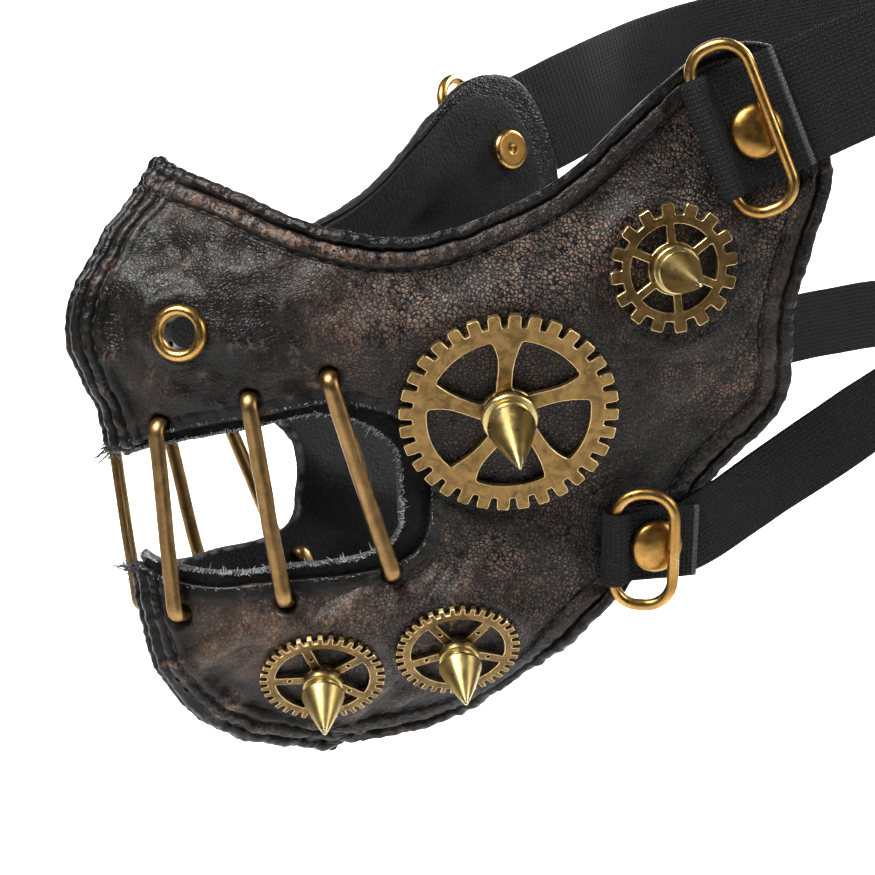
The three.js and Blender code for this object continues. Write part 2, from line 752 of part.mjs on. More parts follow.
const leather = sheet([...ROWS, 1], 0, LEATHER, 1);
const lining = sheet([-1, ...ROWS], LEATHER + GAP, SKIN, -1);
addPair("leather", "", cut(leather, clearances), FINISH.leather);
addPair("lining", "", cut(lining, clearances), FINISH.lining);
addPair("eyelet", "", eyeletGeometry(), FINISH.shiny);
addPair("eyelet_washer", "", eyeletWasherGeometry(), FINISH.shiny);
BARS.forEach((bar, i) => addPair("bar", `_${i + 1}`, barGeometry(bar, 0), FINISH.bronze));
for (const name of gearNames) {
  addPair(`${name}_gear`, "", gearGeometry(name), FINISH.bronze);
  addPair(`${name}_spike`, "", spikeGeometry(name), FINISH.brass);
  addPair(`${name}_screw`, "", screwGeometry(name), FINISH.steel);
}
for (const name of strapNames) {
  const rivetHoles = [postHoles(name), mirrored(postHoles(name))];
  add(`${name}_strap`, cut(bandGeometry(name, 0), rivetHoles), FINISH.elastic());
  addPair(`${name}_ring`, "", ringGeometry(name), FINISH.shiny);
  addPair(`${name}_rivet`, "", rivetCapGeometry(name), FINISH.shiny);
  addPair(`${name}_rivet_back`, "", rivetBackGeometry(name), FINISH.shiny);
}

export default mask;
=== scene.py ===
import math

import bpy
import numpy as np
from mathutils import Matrix, Vector, kdtree


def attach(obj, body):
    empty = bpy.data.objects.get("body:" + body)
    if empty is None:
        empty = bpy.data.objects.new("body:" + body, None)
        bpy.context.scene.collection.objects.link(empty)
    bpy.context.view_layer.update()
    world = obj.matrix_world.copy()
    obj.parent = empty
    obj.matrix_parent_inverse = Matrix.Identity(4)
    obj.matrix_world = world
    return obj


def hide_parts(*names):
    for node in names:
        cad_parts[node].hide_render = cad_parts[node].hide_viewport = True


# The half-face muzzle mask. Lengths are millimetres until a mesh is made. Left is +X.
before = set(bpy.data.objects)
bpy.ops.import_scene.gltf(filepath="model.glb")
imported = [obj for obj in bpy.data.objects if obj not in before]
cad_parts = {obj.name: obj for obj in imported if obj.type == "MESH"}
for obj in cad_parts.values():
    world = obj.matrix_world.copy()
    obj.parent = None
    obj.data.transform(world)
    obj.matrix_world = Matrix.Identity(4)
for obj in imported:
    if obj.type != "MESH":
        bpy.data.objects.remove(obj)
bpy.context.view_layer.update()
rng = np.random.default_rng(11)
MM = 0.001
SIDES = ((False, "left"), (True, "right"))


def added(name, data):
    """A new object in the scene."""
    obj = bpy.data.objects.new(name, data)
    bpy.context.scene.collection.objects.link(obj)
    return obj


# ---- camera
AZ, EL, DISTANCE = math.radians(66), math.radians(3), 700
AIM_RIGHT, AIM_UP = -42.5, 9.6
SENSOR, LENS = 36, 132.7
cam_right = np.array([math.cos(AZ), math.sin(AZ), 0])
cam_back = np.array([math.sin(AZ) * math.cos(EL), -math.cos(AZ) * math.cos(EL), math.sin(EL)])
cam_up = np.cross(cam_back, cam_right)
cam_target = AIM_RIGHT * cam_right + AIM_UP * cam_up
cam_data = bpy.data.cameras.new("camera")
cam_data.sensor_width, cam_data.lens = SENSOR, LENS
cam_data.clip_start, cam_data.clip_end = 0.05, 20
camera = added("camera", cam_data)
camera.matrix_world = Matrix([
    [cam_right[i], cam_up[i], cam_back[i], (cam_target[i] + DISTANCE * cam_back[i]) * MM] for i in range(3)
] + [[0, 0, 0, 1]])
bpy.context.scene.camera = camera

# ---- the form, as in the CAD
# the leather's thickness, the gap between pieces, the depth of leather and lining together, half the gap
# between the two panels, how deep the form is, and how far in the hardware's inner face lies
LEATHER, GAP, SKIN, SEAM_GAP, FORM_DEPTH, BACK_FACE = 1.4, 0.3, 2.7, 0.2, 170, -3.0
# level ribs of the form: how far forward, height, half width, and how full the curve is
RIBS = np.array([
    [-99, 92, 70, .7], [-108, 68, 66, .7], [-120, 50, 63, .64], [-126, 33, 58, .6], [-118, 12, 50, .57],
    [-113, -13, 42, .5], [-110, -28, 37, .47], [-105, -39, 25, .47], [-96, -47, 14, .47], [-81, -52, 6, .5],
    [-66, -54, 2, .5]], float)
SEAM = -200  # stands for the middle plane in the outlines below, which are seen from the side
MOUTH = [(SEAM, 10), (-111, 14), (-98, 17), (-84, 20), (-75, 18.5), (-69, 15), (-65, 10.5), (-63, 5), (-62, -1),
         (-62.5, -7), (-66, -12), (-75, -15), (-88, -16.5), (-103, -18), (SEAM, -14)]
OUTLINE = [(SEAM, 68), (-100, 61.5), (-86, 54), (-70, 52), (-50, 59), (-30, 75), (-13, 89), (3, 87), (11, 62),
           (7, 26), (-7, 1), (-24, -22), (-40, -39), (-55, -49), (SEAM, -53.5)]
LEDGE_Y, LEDGE_Z, LEDGE_SHARE = -95, 1, 0.84  # the lining's edge is the mouth's drawn in to here by this share
# y, z, radius of the flat place, how far it fades out, dip and yaw in degrees
FITTINGS = {
    "eyelet": (-111, 33.5, 6.3, 4, 0, 0), "cheek": (-49.5, 18, 22.6, 8, 5, 5),
    "temple": (-20.5, 46.5, 13.7, 6, 5, 0), "chin_front": (-79.5, -36, 13.3, 5, 3, 5),
    "chin_rear": (-54, -30.5, 13.3, 5, 5, 5), "upper_rivet": (-4.5, 73.5, 17, 8, 0, 0),
    "lower_rivet": (-16.5, -9, 13, 8, 0, 0)}


def clamp(x):
    return np.clip(x, 0, 1)


def smooth(t):
    """From 0 to 1 with level ends."""
    t = clamp(t)
    return t * t * (3 - 2 * t)


def unit(v):
    return v / np.maximum(np.linalg.norm(v, axis=-1, keepdims=True), 1e-12)


def lengths(line):
    """How far along a line each of its points is."""
    return np.concatenate([[0], np.cumsum(np.linalg.norm(np.diff(line, axis=0), axis=1))])


def places(at, far, line):
    """The points of a line at given lengths along it."""
    return np.stack([np.interp(at, far, line[:, k]) for k in range(3)], -1)


def round_angles(count):
    return np.arange(count) * 2 * math.pi / count


def along_rows(rows, at):
    """A smooth curve through rows of numbers, at places counted in rows."""
    rows = np.asarray(rows, float)
    full = np.vstack([2 * rows[0] - rows[1], rows, 2 * rows[-1] - rows[-2]])
    last = len(rows) - 1
    i = np.minimum(np.floor(np.maximum(at, 0)).astype(int), last - 1)
    t = (np.clip(at, 0, last) - i)[..., None]
    a, b, c, d = full[i], full[i + 1], full[i + 2], full[i + 3]
    return 0.5 * (2 * b + t * (c - a + t * (2 * a - 5 * b + 4 * c - d + t * (3 * b - a - 3 * c + d))))


def form_point(w, s):
    """The plain form: w from 0 in the middle to 1 at the side, s down the ribs."""
    rib = along_rows(RIBS, s)
    share = np.minimum(np.abs(w), 0.999) ** (1 / rib[..., 3])
    y = rib[..., 0] + FORM_DEPTH * (1 - np.sqrt(1 - share))
    return np.stack([rib[..., 2] * w, y, rib[..., 1]], -1)


def on_form(y, z):
    """Where on the form a place seen from the side lies."""
    y, z = np.asarray(y, float), np.asarray(z, float)
    low, high = np.zeros_like(z), np.full_like(z, len(RIBS) - 1)
    for _ in range(40):
        middle = (low + high) / 2
        above = along_rows(RIBS, middle)[..., 1] > z
        low, high = np.where(above, middle, low), np.where(above, high, middle)
    rib = along_rows(RIBS, low)
    back = np.maximum(y - rib[..., 0], 0) / FORM_DEPTH
    return (1 - (1 - back) ** 2) ** rib[..., 3], low


def normal_of(surface, w, s):
    e = 0.01
    across = surface(w + e, s) - surface(w - e, s)
    down = surface(w, s + e) - surface(w, s - e)
    return unit(np.cross(down, across))


def turned_about(v, axis, angle):
    axis = unit(np.asarray(axis, float))
    across = np.cross(axis, v)
    return v * math.cos(angle) + across * math.sin(angle) + axis * (axis @ v) * (1 - math.cos(angle))


flats = {}
for name, (y, z, flat, fade, dip, yaw) in FITTINGS.items():
    w, s = on_form(np.array([y]), np.array([z]))
    n = normal_of(form_point, w, s)[0]
    level = unit(np.cross([0, 0, 1], n))
    n = turned_about(turned_about(n, level, math.radians(dip)), [0, 0, 1], -math.radians(yaw))
    flats[name] = (form_point(w, s)[0], n, flat, fade)


def face_point(w, s):
    """The form with a flat place under each fitting."""
    sign = np.where(w < 0, -1.0, 1.0)
    start = form_point(np.abs(w), s)
    shares, pushes = [], []
    for centre, n, flat, fade in flats.values():
        away = start - centre
        height = away @ n
        radius = np.sqrt(np.maximum((away ** 2).sum(-1) - height ** 2, 0))
        shares.append(np.where(np.abs(height) > flat, 0, 1 - smooth((radius - flat) / fade)))
        pushes.append(-height[..., None] * n)
    moved = start.copy()
    for i, (share, push) in enumerate(zip(shares, pushes)):
        others = np.prod([1 - other for k, other in enumerate(shares) if k != i], axis=0)
        moved += push * (share * others)[..., None]
    moved[..., 0] *= sign
    return moved


mouth_edge = np.stack(on_form(*np.array(MOUTH, float).T), -1)
ledge_yz = np.array([
    (y if y == SEAM else LEDGE_Y + (y - LEDGE_Y) * LEDGE_SHARE, LEDGE_Z + (z - LEDGE_Z) * LEDGE_SHARE)
    for y, z in MOUTH], float)
ledge_edge = np.stack(on_form(*ledge_yz.T), -1)
outer_edge = np.stack(on_form(*np.array(OUTLINE, float).T), -1)


def panel_place(u, v):
    """Round the panel by u, and from the mouth's edge (0) to the outer edge (1) or the lining's ledge (-1) by v."""
    at = u * (len(MOUTH) - 1)
    near = along_rows(mouth_edge, at)
    far = np.where((v < 0)[..., None], along_rows(ledge_edge, at), along_rows(outer_edge, at))
    place = near + (far - near) * np.abs(v)[..., None]
    w = np.where((u <= 0) | (u >= 1), 0, np.maximum(place[..., 0], 0))
    return w, place[..., 1]


def frame_on(name, along):
    """A fitting's own frame, z outwards, with x as near to along as it can be."""
    centre, n, _, _ = flats[name]
    along = np.asarray(along, float)
    x = unit(along - n * (along @ n))
    m = np.eye(4)
    m[:3, 0], m[:3, 1], m[:3, 2] = x, np.cross(n, x), n
    m[:3, 3] = centre + [SEAM_GAP, 0, 0]
    return m


def apply(m, points):
    return np.asarray(points, float) @ m[:3, :3].T + m[:3, 3]


# ---- noise
lattice = unit(rng.normal(0, 1, (32, 32, 32, 3)))


def noise(points, size, seed=0.0):
    """Gradient noise, about -1 to 1."""
    q = np.asarray(points, float) / size + seed * 3.7 + 100
    i = np.floor(q).astype(int)
    f = q - i
    fade = f * f * f * (f * (f * 6 - 15) + 10)
    total = 0
    for dx in (0, 1):
        for dy in (0, 1):
            for dz in (0, 1):
                weight = (fade[..., 0] if dx else 1 - fade[..., 0]) * (fade[..., 1] if dy else 1 - fade[..., 1])
                weight = weight * (fade[..., 2] if dz else 1 - fade[..., 2])
                slope = lattice[(i[..., 0] + dx) % 32, (i[..., 1] + dy) % 32, (i[..., 2] + dz) % 32]
                total = total + weight * (slope * (f - [dx, dy, dz])).sum(-1)
    return total * 1.6


def noise1(at, size, seed=0.0):
    at = np.asarray(at, float)
    return noise(np.stack([at, at * 0 + seed * 11.3, at * 0 + seed * 5.1], -1), size)


def bell(x, centre, width):
    return np.exp(-((x - centre) / width) ** 2)


# ---- mesh making
def make(name, points, faces, material, body, nodes, right=False, attributes=None, edges=None):
    """A mesh from millimetre points. right gives the mirrored piece."""
    points = np.array(points, float)
    if right:
        points[:, 0] *= -1
        faces = [tuple(reversed(f)) for f in faces] if not isinstance(faces, np.ndarray) else faces[:, ::-1]
    mesh = bpy.data.meshes.new(name)
    mesh.from_pydata((points * MM).tolist(), [], faces.tolist() if isinstance(faces, np.ndarray) else faces)
    mesh.validate()
    for key, values in (attributes or {}).items():
        mesh.attributes.new(key, "FLOAT", "POINT").data.foreach_set("value", np.asarray(values, np.float32))
    for key, values in (edges or {}).items():
        mesh.attributes.new(key, "FLOAT", "FACE").data.foreach_set("value", np.asarray(values, np.float32))
    mesh.polygons.foreach_set("use_smooth", [True] * len(mesh.polygons))
    mesh.materials.append(material)
    obj = added(name, mesh)
    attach(obj, body)
    if nodes:
        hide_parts(*nodes)
    return obj


def pair(name, points, faces, material, body, node, slot, attributes=None, edges=None):
    """The left piece and its mirror, with SIDE in the names standing for each side."""
    return [make(name.replace("SIDE", side), points, faces, material, body.replace("SIDE", side),
                 [node.replace("SIDE", side)] if node else None, right, attributes, edges)
            for right, side in SIDES]


def grid_faces(rows, columns, wrap_rows=False, wrap_columns=False):
    i = np.arange(rows if wrap_rows else rows - 1)[:, None]
    j = np.arange(columns if wrap_columns else columns - 1)[None, :]
    i2, j2 = (i + 1) % rows, (j + 1) % columns
    quads = [np.broadcast_to(x, (i.shape[0], j.shape[1])) for x in
             (i * columns + j, i * columns + j2, i2 * columns + j2, i2 * columns + j)]
    return np.stack(quads, -1).reshape(-1, 4)


def turned(profile, segments=56):
    """A lathe about z from [radius, height] points, open or closed on the axis."""
    profile = np.asarray(profile, float)
    angle = round_angles(segments)
    r, h = profile[:, 0][:, None], profile[:, 1][:, None]
    points = np.stack([r * np.cos(angle), r * np.sin(angle), h + 0 * angle], -1).reshape(-1, 3)
    return points, grid_faces(len(profile), segments, wrap_columns=True)[:, ::-1]


def softened(profile, radius=0.12, steps=3):
    """Rounds every inner corner of a line of points."""
    profile = [np.asarray(p, float) for p in profile]
    out = [profile[0]]
    for a, b, c in zip(profile, profile[1:], profile[2:]):
        reach = min(radius, np.linalg.norm(a - b) / 2.2, np.linalg.norm(c - b) / 2.2)
        start, end = b + unit(a - b) * reach, b + unit(c - b) * reach
        for t in np.linspace(0, 1, steps + 1):
            out.append((1 - t) ** 2 * start + 2 * t * (1 - t) * b + t * t * end)
    return np.array(out + [profile[-1]])


def swept(path, side, deep, half_side, half_deep, sides=20, closed=False):
    """A round or oval bar along a path, with the two directions of its section given."""
    angle = round_angles(sides)
    ring = np.cos(angle)[None, :, None] * (side * half_side)[:, None, :] + \
        np.sin(angle)[None, :, None] * (deep * half_deep)[:, None, :]
    points = (path[:, None, :] + ring).reshape(-1, 3)
    faces = grid_faces(len(path), sides, wrap_rows=closed, wrap_columns=True).tolist()
    if not closed:
        faces += [list(range(sides))[::-1], list(range((len(path) - 1) * sides, len(path) * sides))]
    return points, faces


def thread(path, radius, sides=6):
    """A thin round thread along a path, with rounded ends."""
    path = np.asarray(path, float)
    ahead = unit(np.gradient(path, axis=0))
    hint = np.array([0.31, 0.17, 0.93])
    side = unit(np.cross(ahead, hint))
    deep = np.cross(ahead, side)
    t = np.linspace(-1, 1, len(path))
    taper = (radius * np.sqrt(np.maximum(1 - np.abs(t) ** 6, 0.05)))[:, None]
    return swept(path, side, deep, taper, taper, sides)


def joined(parts):
    """Several closed meshes as one."""
    points, faces, start = [], [], 0
    for p, f in parts:
        points.append(p)
        faces += [[i + start for i in face] for face in (f.tolist() if isinstance(f, np.ndarray) else f)]
        start += len(p)
    return np.vstack(points), faces


# ---- materials
class Shader:
    """A small helper that builds a principled material."""

    def __init__(self, name):
        self.material = bpy.data.materials.new(name)
        self.material.use_nodes = True
        self.tree = self.material.node_tree
        self.tree.nodes.clear()
        output = self.tree.nodes.new("ShaderNodeOutputMaterial")
        self.main = self.tree.nodes.new("ShaderNodeBsdfPrincipled")
        self.tree.links.new(self.main.outputs[0], output.inputs[0])
        self.object = self.tree.nodes.new("ShaderNodeTexCoord").outputs["Object"]

    def feed(self, socket, value):
        if isinstance(value, bpy.types.NodeSocket):
            self.tree.links.new(value, socket)
        else:
            socket.default_value = (*value, 1) if isinstance(value, tuple) and len(value) == 3 else value

    def set(self, **values):
        for key, value in values.items():
            self.feed(self.main.inputs[key.replace("_", " ")], value)

    def math(self, operation, a, b=0.5, clamp=False):
        n = self.tree.nodes.new("ShaderNodeMath")
        n.operation, n.use_clamp = operation, clamp
        self.feed(n.inputs[0], a)
        self.feed(n.inputs[1], b)
        return n.outputs[0]

    def times(self, a, b, clamp=False):
        return self.math("MULTIPLY", a, b, clamp)

    def remap(self, x, low, high, to_low=0.0, to_high=1.0):
        n = self.tree.nodes.new("ShaderNodeMapRange")
        n.interpolation_type = "SMOOTHSTEP"
        for k, value in enumerate((x, low, high, to_low, to_high)):
            self.feed(n.inputs[k], value)
        return n.outputs[0]

    def mix(self, share, a, b):
        n = self.tree.nodes.new("ShaderNodeMix")
        n.data_type = "RGBA"
        for k, value in ((0, share), (6, a), (7, b)):
            self.feed(n.inputs[k], value)
        return n.outputs[2]

    def noise(self, size, detail=4.0, rough=0.55, warp=0.0):
        n = self.tree.nodes.new("ShaderNodeTexNoise")
        self.feed(n.inputs["Vector"], self.object)
        self.feed(n.inputs["Scale"], 1000 / size)
        self.feed(n.inputs["Detail"], detail)
        self.feed(n.inputs["Roughness"], rough)
        self.feed(n.inputs["Distortion"], warp)
        return n.outputs["Fac"]

    def cells(self, size, feature="DISTANCE_TO_EDGE", vector=None):
        n = self.tree.nodes.new("ShaderNodeTexVoronoi")
        n.feature = feature
        self.feed(n.inputs["Vector"], vector or self.object)
        self.feed(n.inputs["Scale"], 1000 / size)
        return n.outputs["Distance"]

    def shaken(self, size, by):
        """Coordinates pushed about by noise, so that cells are uneven."""
        n = self.tree.nodes.new("ShaderNodeTexNoise")
        self.feed(n.inputs["Vector"], self.object)
        self.feed(n.inputs["Scale"], 1000 / size)
        add = self.tree.nodes.new("ShaderNodeVectorMath")
        add.operation = "MULTIPLY_ADD"
        self.feed(add.inputs[0], n.outputs["Color"])
        add.inputs[1].default_value = (by * MM,) * 3
        self.feed(add.inputs[2], self.object)
        return add.outputs[0]

    def attribute(self, name):
        n = self.tree.nodes.new("ShaderNodeAttribute")
        n.attribute_name = name
        return n.outputs["Fac"]

    def bump(self, height, depth, strength=1.0, below=None):
        n = self.tree.nodes.new("ShaderNodeBump")
        self.feed(n.inputs["Height"], height)
        self.feed(n.inputs["Distance"], depth * MM)
        self.feed(n.inputs["Strength"], strength)
        if below is not None:
            self.feed(n.inputs["Normal"], below)
        return n.outputs["Normal"]


def leather_material():
    """Black coat over brown leather: tan bares the brown, rub scrapes it, grain cracks it, and the dirt mask blackens
    the grooves and seams with dirt and paints shade into the bar pits, the creases and under the straps.
    """
    m = Shader("distressed_leather")
    tan, rub, dirt, grain = (m.attribute(k) for k in ("tan", "rub", "dirt", "grain"))
    shaken = m.shaken(1.6, 0.9)
    crack = m.remap(m.cells(0.82, vector=shaken), 0.015, 0.24)
    fine = m.noise(0.35, 5, 0.6)
    cloud = m.remap(m.noise(11, 5, 0.62, 0.6), 0.36, 0.66)
    mottle = m.remap(m.noise(2.6, 5, 0.7, 0.4), 0.3, 0.72)
    blotch = m.remap(m.noise(5.5, 6, 0.65, 1.2), 0.52, 0.7)
    hue = m.remap(m.noise(19, 2, 0.5), 0.35, 0.65)
    coat = m.mix(m.remap(m.noise(7, 4, 0.6), 0.35, 0.7), (0.003, 0.003, 0.0034), (0.0098, 0.0102, 0.0098))
    worn = m.mix(hue, (0.27, 0.16, 0.108), (0.2, 0.142, 0.108))
    worn = m.mix(m.times(blotch, 0.6), worn, (0.36, 0.225, 0.165))
    share = m.times(tan, m.remap(cloud, 0, 1, 0.42, 1.25))
    share = m.times(share, m.remap(mottle, 0, 1, 0.55, 1.1))
    open_cells = m.times(m.remap(crack, 0, 1, 1.15, 0), grain)
    share = m.times(share, m.math("SUBTRACT", 1.0, open_cells), clamp=True)
    rubbed = m.times(rub, m.remap(m.noise(1.7, 6, 0.75, 0.8), 0.44, 0.62))
    share = m.math("MAXIMUM", share, m.times(rubbed, 0.9))
    colour = m.mix(share, coat, worn)
    between = m.times(m.remap(crack, 0, 1, 0.55, 0), grain)
    colour = m.mix(between, colour, (0.004, 0.004, 0.0045))
    # dirt in the grooves and seams, and painted shade in the bar pits, the creases and under the straps
    colour = m.mix(m.times(dirt, 0.92), colour, (0.0035, 0.0035, 0.004))
    height = m.times(crack, grain)
    normal = m.bump(m.noise(3.2, 4, 0.6, 0.3), 0.5, 0.6)
    normal = m.bump(height, 0.14, 0.9, normal)
    normal = m.bump(fine, 0.045, 0.6, normal)
    rough = m.remap(m.noise(4, 4, 0.6), 0.3, 0.75, 0.27, 0.44)
    rough = m.math("ADD", rough, m.times(share, 0.13))
    m.set(Base_Color=colour, Roughness=rough, Normal=normal, Specular_IOR_Level=0.27)
    return m.material


def knit_material(name, base, light, pitch, sheen=0.04):
    """A fine knit in which raw places are pale."""
    m = Shader(name)
    raw = m.attribute("raw")
    loops = m.cells(pitch, "F1", m.shaken(1.4, 0.4))
    fibre = m.noise(0.3, 6, 0.75)
    colour = m.mix(m.remap(loops, 0.1, 0.6), light, base)
    colour = m.mix(m.times(m.remap(m.noise(6, 4, 0.6), 0.4, 0.8), 0.5), colour, light)
    pale = m.times(raw, m.remap(fibre, 0.32, 0.55))
    colour = m.mix(pale, colour, (0.3, 0.31, 0.33))
    normal = m.bump(loops, 0.22, 0.8)
    normal = m.bump(fibre, 0.12, 0.7, normal)
    m.set(Base_Color=colour, Roughness=m.remap(fibre, 0.2, 0.8, 0.78, 0.95), Normal=normal, Sheen_Weight=sheen,
          Specular_IOR_Level=0.25)
    return m.material


def elastic_material():
    """Woven elastic: fine ribs across it and cord lines along it."""
    m = Shader("woven_elastic")
    across, along, cut = m.attribute("across"), m.attribute("along"), m.attribute("cut")
    cords = m.math("SINE", m.times(across, 2 * math.pi / 0.95))
    wefts = m.math("SINE", m.times(along, 2 * math.pi / 0.62))
    weave = m.math("ADD", m.times(cords, wefts), m.times(cords, 0.5))
    fibre = m.noise(0.25, 6, 0.8)
    level = m.math("ADD", m.remap(weave, -1.3, 1.3), m.times(fibre, 0.6))
    colour = m.mix(m.remap(level, 0.35, 1.3), (0.002, 0.002, 0.0024), (0.02, 0.02, 0.022))
    colour = m.mix(m.times(m.remap(m.noise(9, 5, 0.6), 0.45, 0.8), 0.3), colour, (0.02, 0.02, 0.0215))
    pale = m.times(cut, m.remap(fibre, 0.3, 0.6))
    colour = m.mix(pale, colour, (0.16, 0.155, 0.14))
    normal = m.bump(weave, 0.16, 0.9)
    normal = m.bump(fibre, 0.06, 0.6, normal)
    m.set(Base_Color=colour, Roughness=m.remap(level, 0.2, 1.4, 0.62, 0.82), Normal=normal, Specular_IOR_Level=0.25)
    return m.material


def metal_material(name, dark, middle, bright, rough, wear, patina, pits=0.5, lathe=0.0):
    """Brass, bronze or steel with patina, pits, bright edges, painted shade inside holes and lines from the lathe."""
    m = Shader(name)
    edge, hole_shade = m.attribute("worn"), m.attribute("hole_shade")
    stain = m.remap(m.noise(3.4, 6, 0.68, 0.7), 0.38, 0.68)
    specks = m.remap(m.noise(0.8, 5, 0.75), 0.55, 0.7)
    colour = m.mix(m.times(stain, patina), middle, dark)
    colour = m.mix(m.times(specks, patina * 0.7), colour, dark)
    shine = m.times(edge, m.remap(m.noise(1.3, 4, 0.6), 0.25, 0.55, 0.45, 1))
    colour = m.mix(m.times(shine, wear), colour, bright)
    # painted shade darkens the inside of holes
    colour = m.mix(hole_shade, colour, (0.006, 0.005, 0.004))
    roughness = m.remap(m.noise(1.9, 5, 0.7), 0.3, 0.7, rough * 0.8, rough * 1.25)
    roughness = m.math("ADD", roughness, m.times(specks, 0.12 * patina))
    roughness = m.math("SUBTRACT", roughness, m.times(shine, rough * 0.3))
    normal = m.bump(m.noise(0.5, 5, 0.7), 0.03, pits)
    normal = m.bump(m.noise(2.5, 3, 0.5), 0.08, pits * 0.6, normal)
    if lathe:
        lines = m.math("SINE", m.times(m.attribute("along"), 2 * math.pi / 0.34))
        normal = m.bump(lines, 0.012, lathe, normal)
    m.set(Base_Color=colour, Metallic=1.0, Roughness=roughness, Normal=normal)
    return m.material


def thread_material(name, low, high):
    m = Shader(name)
    colour = m.mix(m.noise(0.5, 4, 0.7), low, high)
    m.set(Base_Color=colour, Roughness=m.remap(m.noise(0.9, 3), 0.3, 0.7, 0.5, 0.8), Sheen_Weight=0.2,
          Normal=m.bump(m.noise(0.2, 4), 0.05, 0.6))
    return m.material


LEATHER_LOOK = leather_material()
LINING_LOOK = knit_material("knitted_lining", (0.0022, 0.0023, 0.0026), (0.0095, 0.0098, 0.011), 0.75)
ELASTIC_LOOK = elastic_material()
BRONZE_LOOK = metal_material("antique_bronze", (0.06, 0.036, 0.014), (0.27, 0.165, 0.06), (0.9, 0.66, 0.32),
                             0.42, 0.95, 0.7)
DARK_BRONZE_LOOK = metal_material("dark_bronze", (0.04, 0.025, 0.011), (0.2, 0.125, 0.048), (0.75, 0.55, 0.27),
                                  0.42, 0.9, 0.75)
BAR_LOOK = metal_material("antique_brass_rod", (0.1, 0.055, 0.022), (0.36, 0.215, 0.085), (0.72, 0.48, 0.22),
                          0.36, 0.6, 0.42)
SPIKE_LOOK = metal_material("spike_brass", (0.24, 0.17, 0.06), (0.56, 0.42, 0.16), (0.93, 0.8, 0.44),
                            0.34, 0.7, 0.25, 0.25, 0.6)
SHINY_LOOK = metal_material("golden_brass", (0.17, 0.08, 0.02), (0.46, 0.25, 0.065), (0.8, 0.52, 0.19),
                            0.34, 0.55, 0.5, 0.3)
STEEL_LOOK = metal_material("plated_steel", (0.2, 0.19, 0.17), (0.52, 0.5, 0.46), (0.8, 0.79, 0.76),
                            0.32, 0.6, 0.4, 0.4)
THREAD_LOOK = thread_material("black_thread", (0.008, 0.008, 0.009), (0.05, 0.05, 0.053))
FRAY_LOOK = thread_material("pale_fray", (0.35, 0.36, 0.37), (0.75, 0.76, 0.77))

# ---- leather panels
# radii of the tooth tips, tooth roots, windows and hub; the cheek gear's spokes lean round by swirl and widen by flare
CHIN_GEAR = dict(tip=12.7, root=11.2, rim=9.6, hub=3.6, teeth=36, spokes=5, swirl=0, spoke=2, thick=1.2)
GEARS = {
    "cheek": dict(tip=22, root=19.3, rim=16.4, hub=5.6, teeth=32, spokes=5, swirl=-.16, spoke=3.4, flare=2.8,
                  thick=1.4, turn=1.32),
    "temple": dict(tip=13.1, root=10.8, rim=9.0, hub=5.4, teeth=16, spokes=6, swirl=0, spoke=1.7, thick=1.4, turn=.2),
    "chin_front": dict(CHIN_GEAR, turn=.3), "chin_rear": dict(CHIN_GEAR, turn=.55)}
# where each mouth bar goes in above and below, seen from the side
BARS = [((-112.3, 15.6), (-107, -23.5)), ((-98, 21), (-89, -20.5)), ((-84.5, 25.3), (-69, -15))]
# climb is how the strap's end leans, lead how far it lies flat, aside how far it is off the rivet,
# long the ring's length, and route the way round to the middle of the back
STRAPS = {
    "upper": dict(width=25, climb=.42, lead=15, aside=1.8, long=34.5, ribs=1.25, rib_height=.13,
                  route=[(66, 22, 87), (74, 44, 95), (69, 72, 103), (42, 95, 108), (0, 103, 110)]),
    "lower": dict(width=15.5, climb=.1, lead=7, aside=0, long=24, ribs=.95, rib_height=.15,
                  route=[(46, 8, 3), (50, 30, 17), (45, 54, 29), (25, 71, 35), (0, 76, 37)])}


# the rows of raised leather along the hem and the seam, by distance from them, and the grooves that are stitched
ROLLED_EDGE, HEM_BAND, HEM_GROOVE = (-0.5, 2.0), (2.3, 5.8), 2.15
HEM_STITCHES, SEAM_STITCHES = 5.95, (3.3, 6.3)
SEAM_ROWS = ((0.1, 3.1), (3.4, 6.1), (6.4, 8.8))
SEAM_GROOVES = (3.25, 6.25)
# places where the coat is worn down to brown: y, z, reach along each, and how far
WORN_PLACES = (
    (-66, 42, 19, 13, .95), (-42, 50, 24, 17, .95), (-22, 66, 16, 15, .85), (6, 48, 10, 24, .9), (-4, 22, 16, 16, .7),
    (-97, 60, 12, 5, .75), (-108, 60, 6, 6, .6), (-80, 34, 8, 9, .6), (-52, -12, 17, 8, .7), (-33, -20, 14, 9, .85),
    (-96, -28, 10, 8, .8), (-37, 5, 16, 15, .55), (-73, -22, 14, 8, .65), (-50, 18, 24, 24, .5), (-115, 24, 4, 10, .45))
CHIN_FOLD = (-106, -37, 13, 15)  # from y, z, going by y, z
EYELET_HOLE = 3.75


def strap_frame(name):
    return frame_on(name + "_rivet", (0, 1, STRAPS[name]["climb"]))


def even_u(count, v, ease):
    """Stations round the panel at even steps along its edge, closer together near the seam."""
    fine = np.linspace(0, 1, 3001)
    line = face_point(*panel_place(fine, np.full_like(fine, v)))
    length = lengths(line)
    t = np.linspace(0, 1, count)
    t = t - ease * np.sin(2 * np.pi * t) / (2 * np.pi)
    u = np.interp(t * length[-1], length, fine)
    u[0], u[-1] = 0, 1
    return u


def line_points(u, v):
    """Places on the left panel, a seam's gap away from the middle plane."""
    place = face_point(*panel_place(u, v))
    place[:, 0] = np.maximum(place[:, 0], 0) + SEAM_GAP
    return place


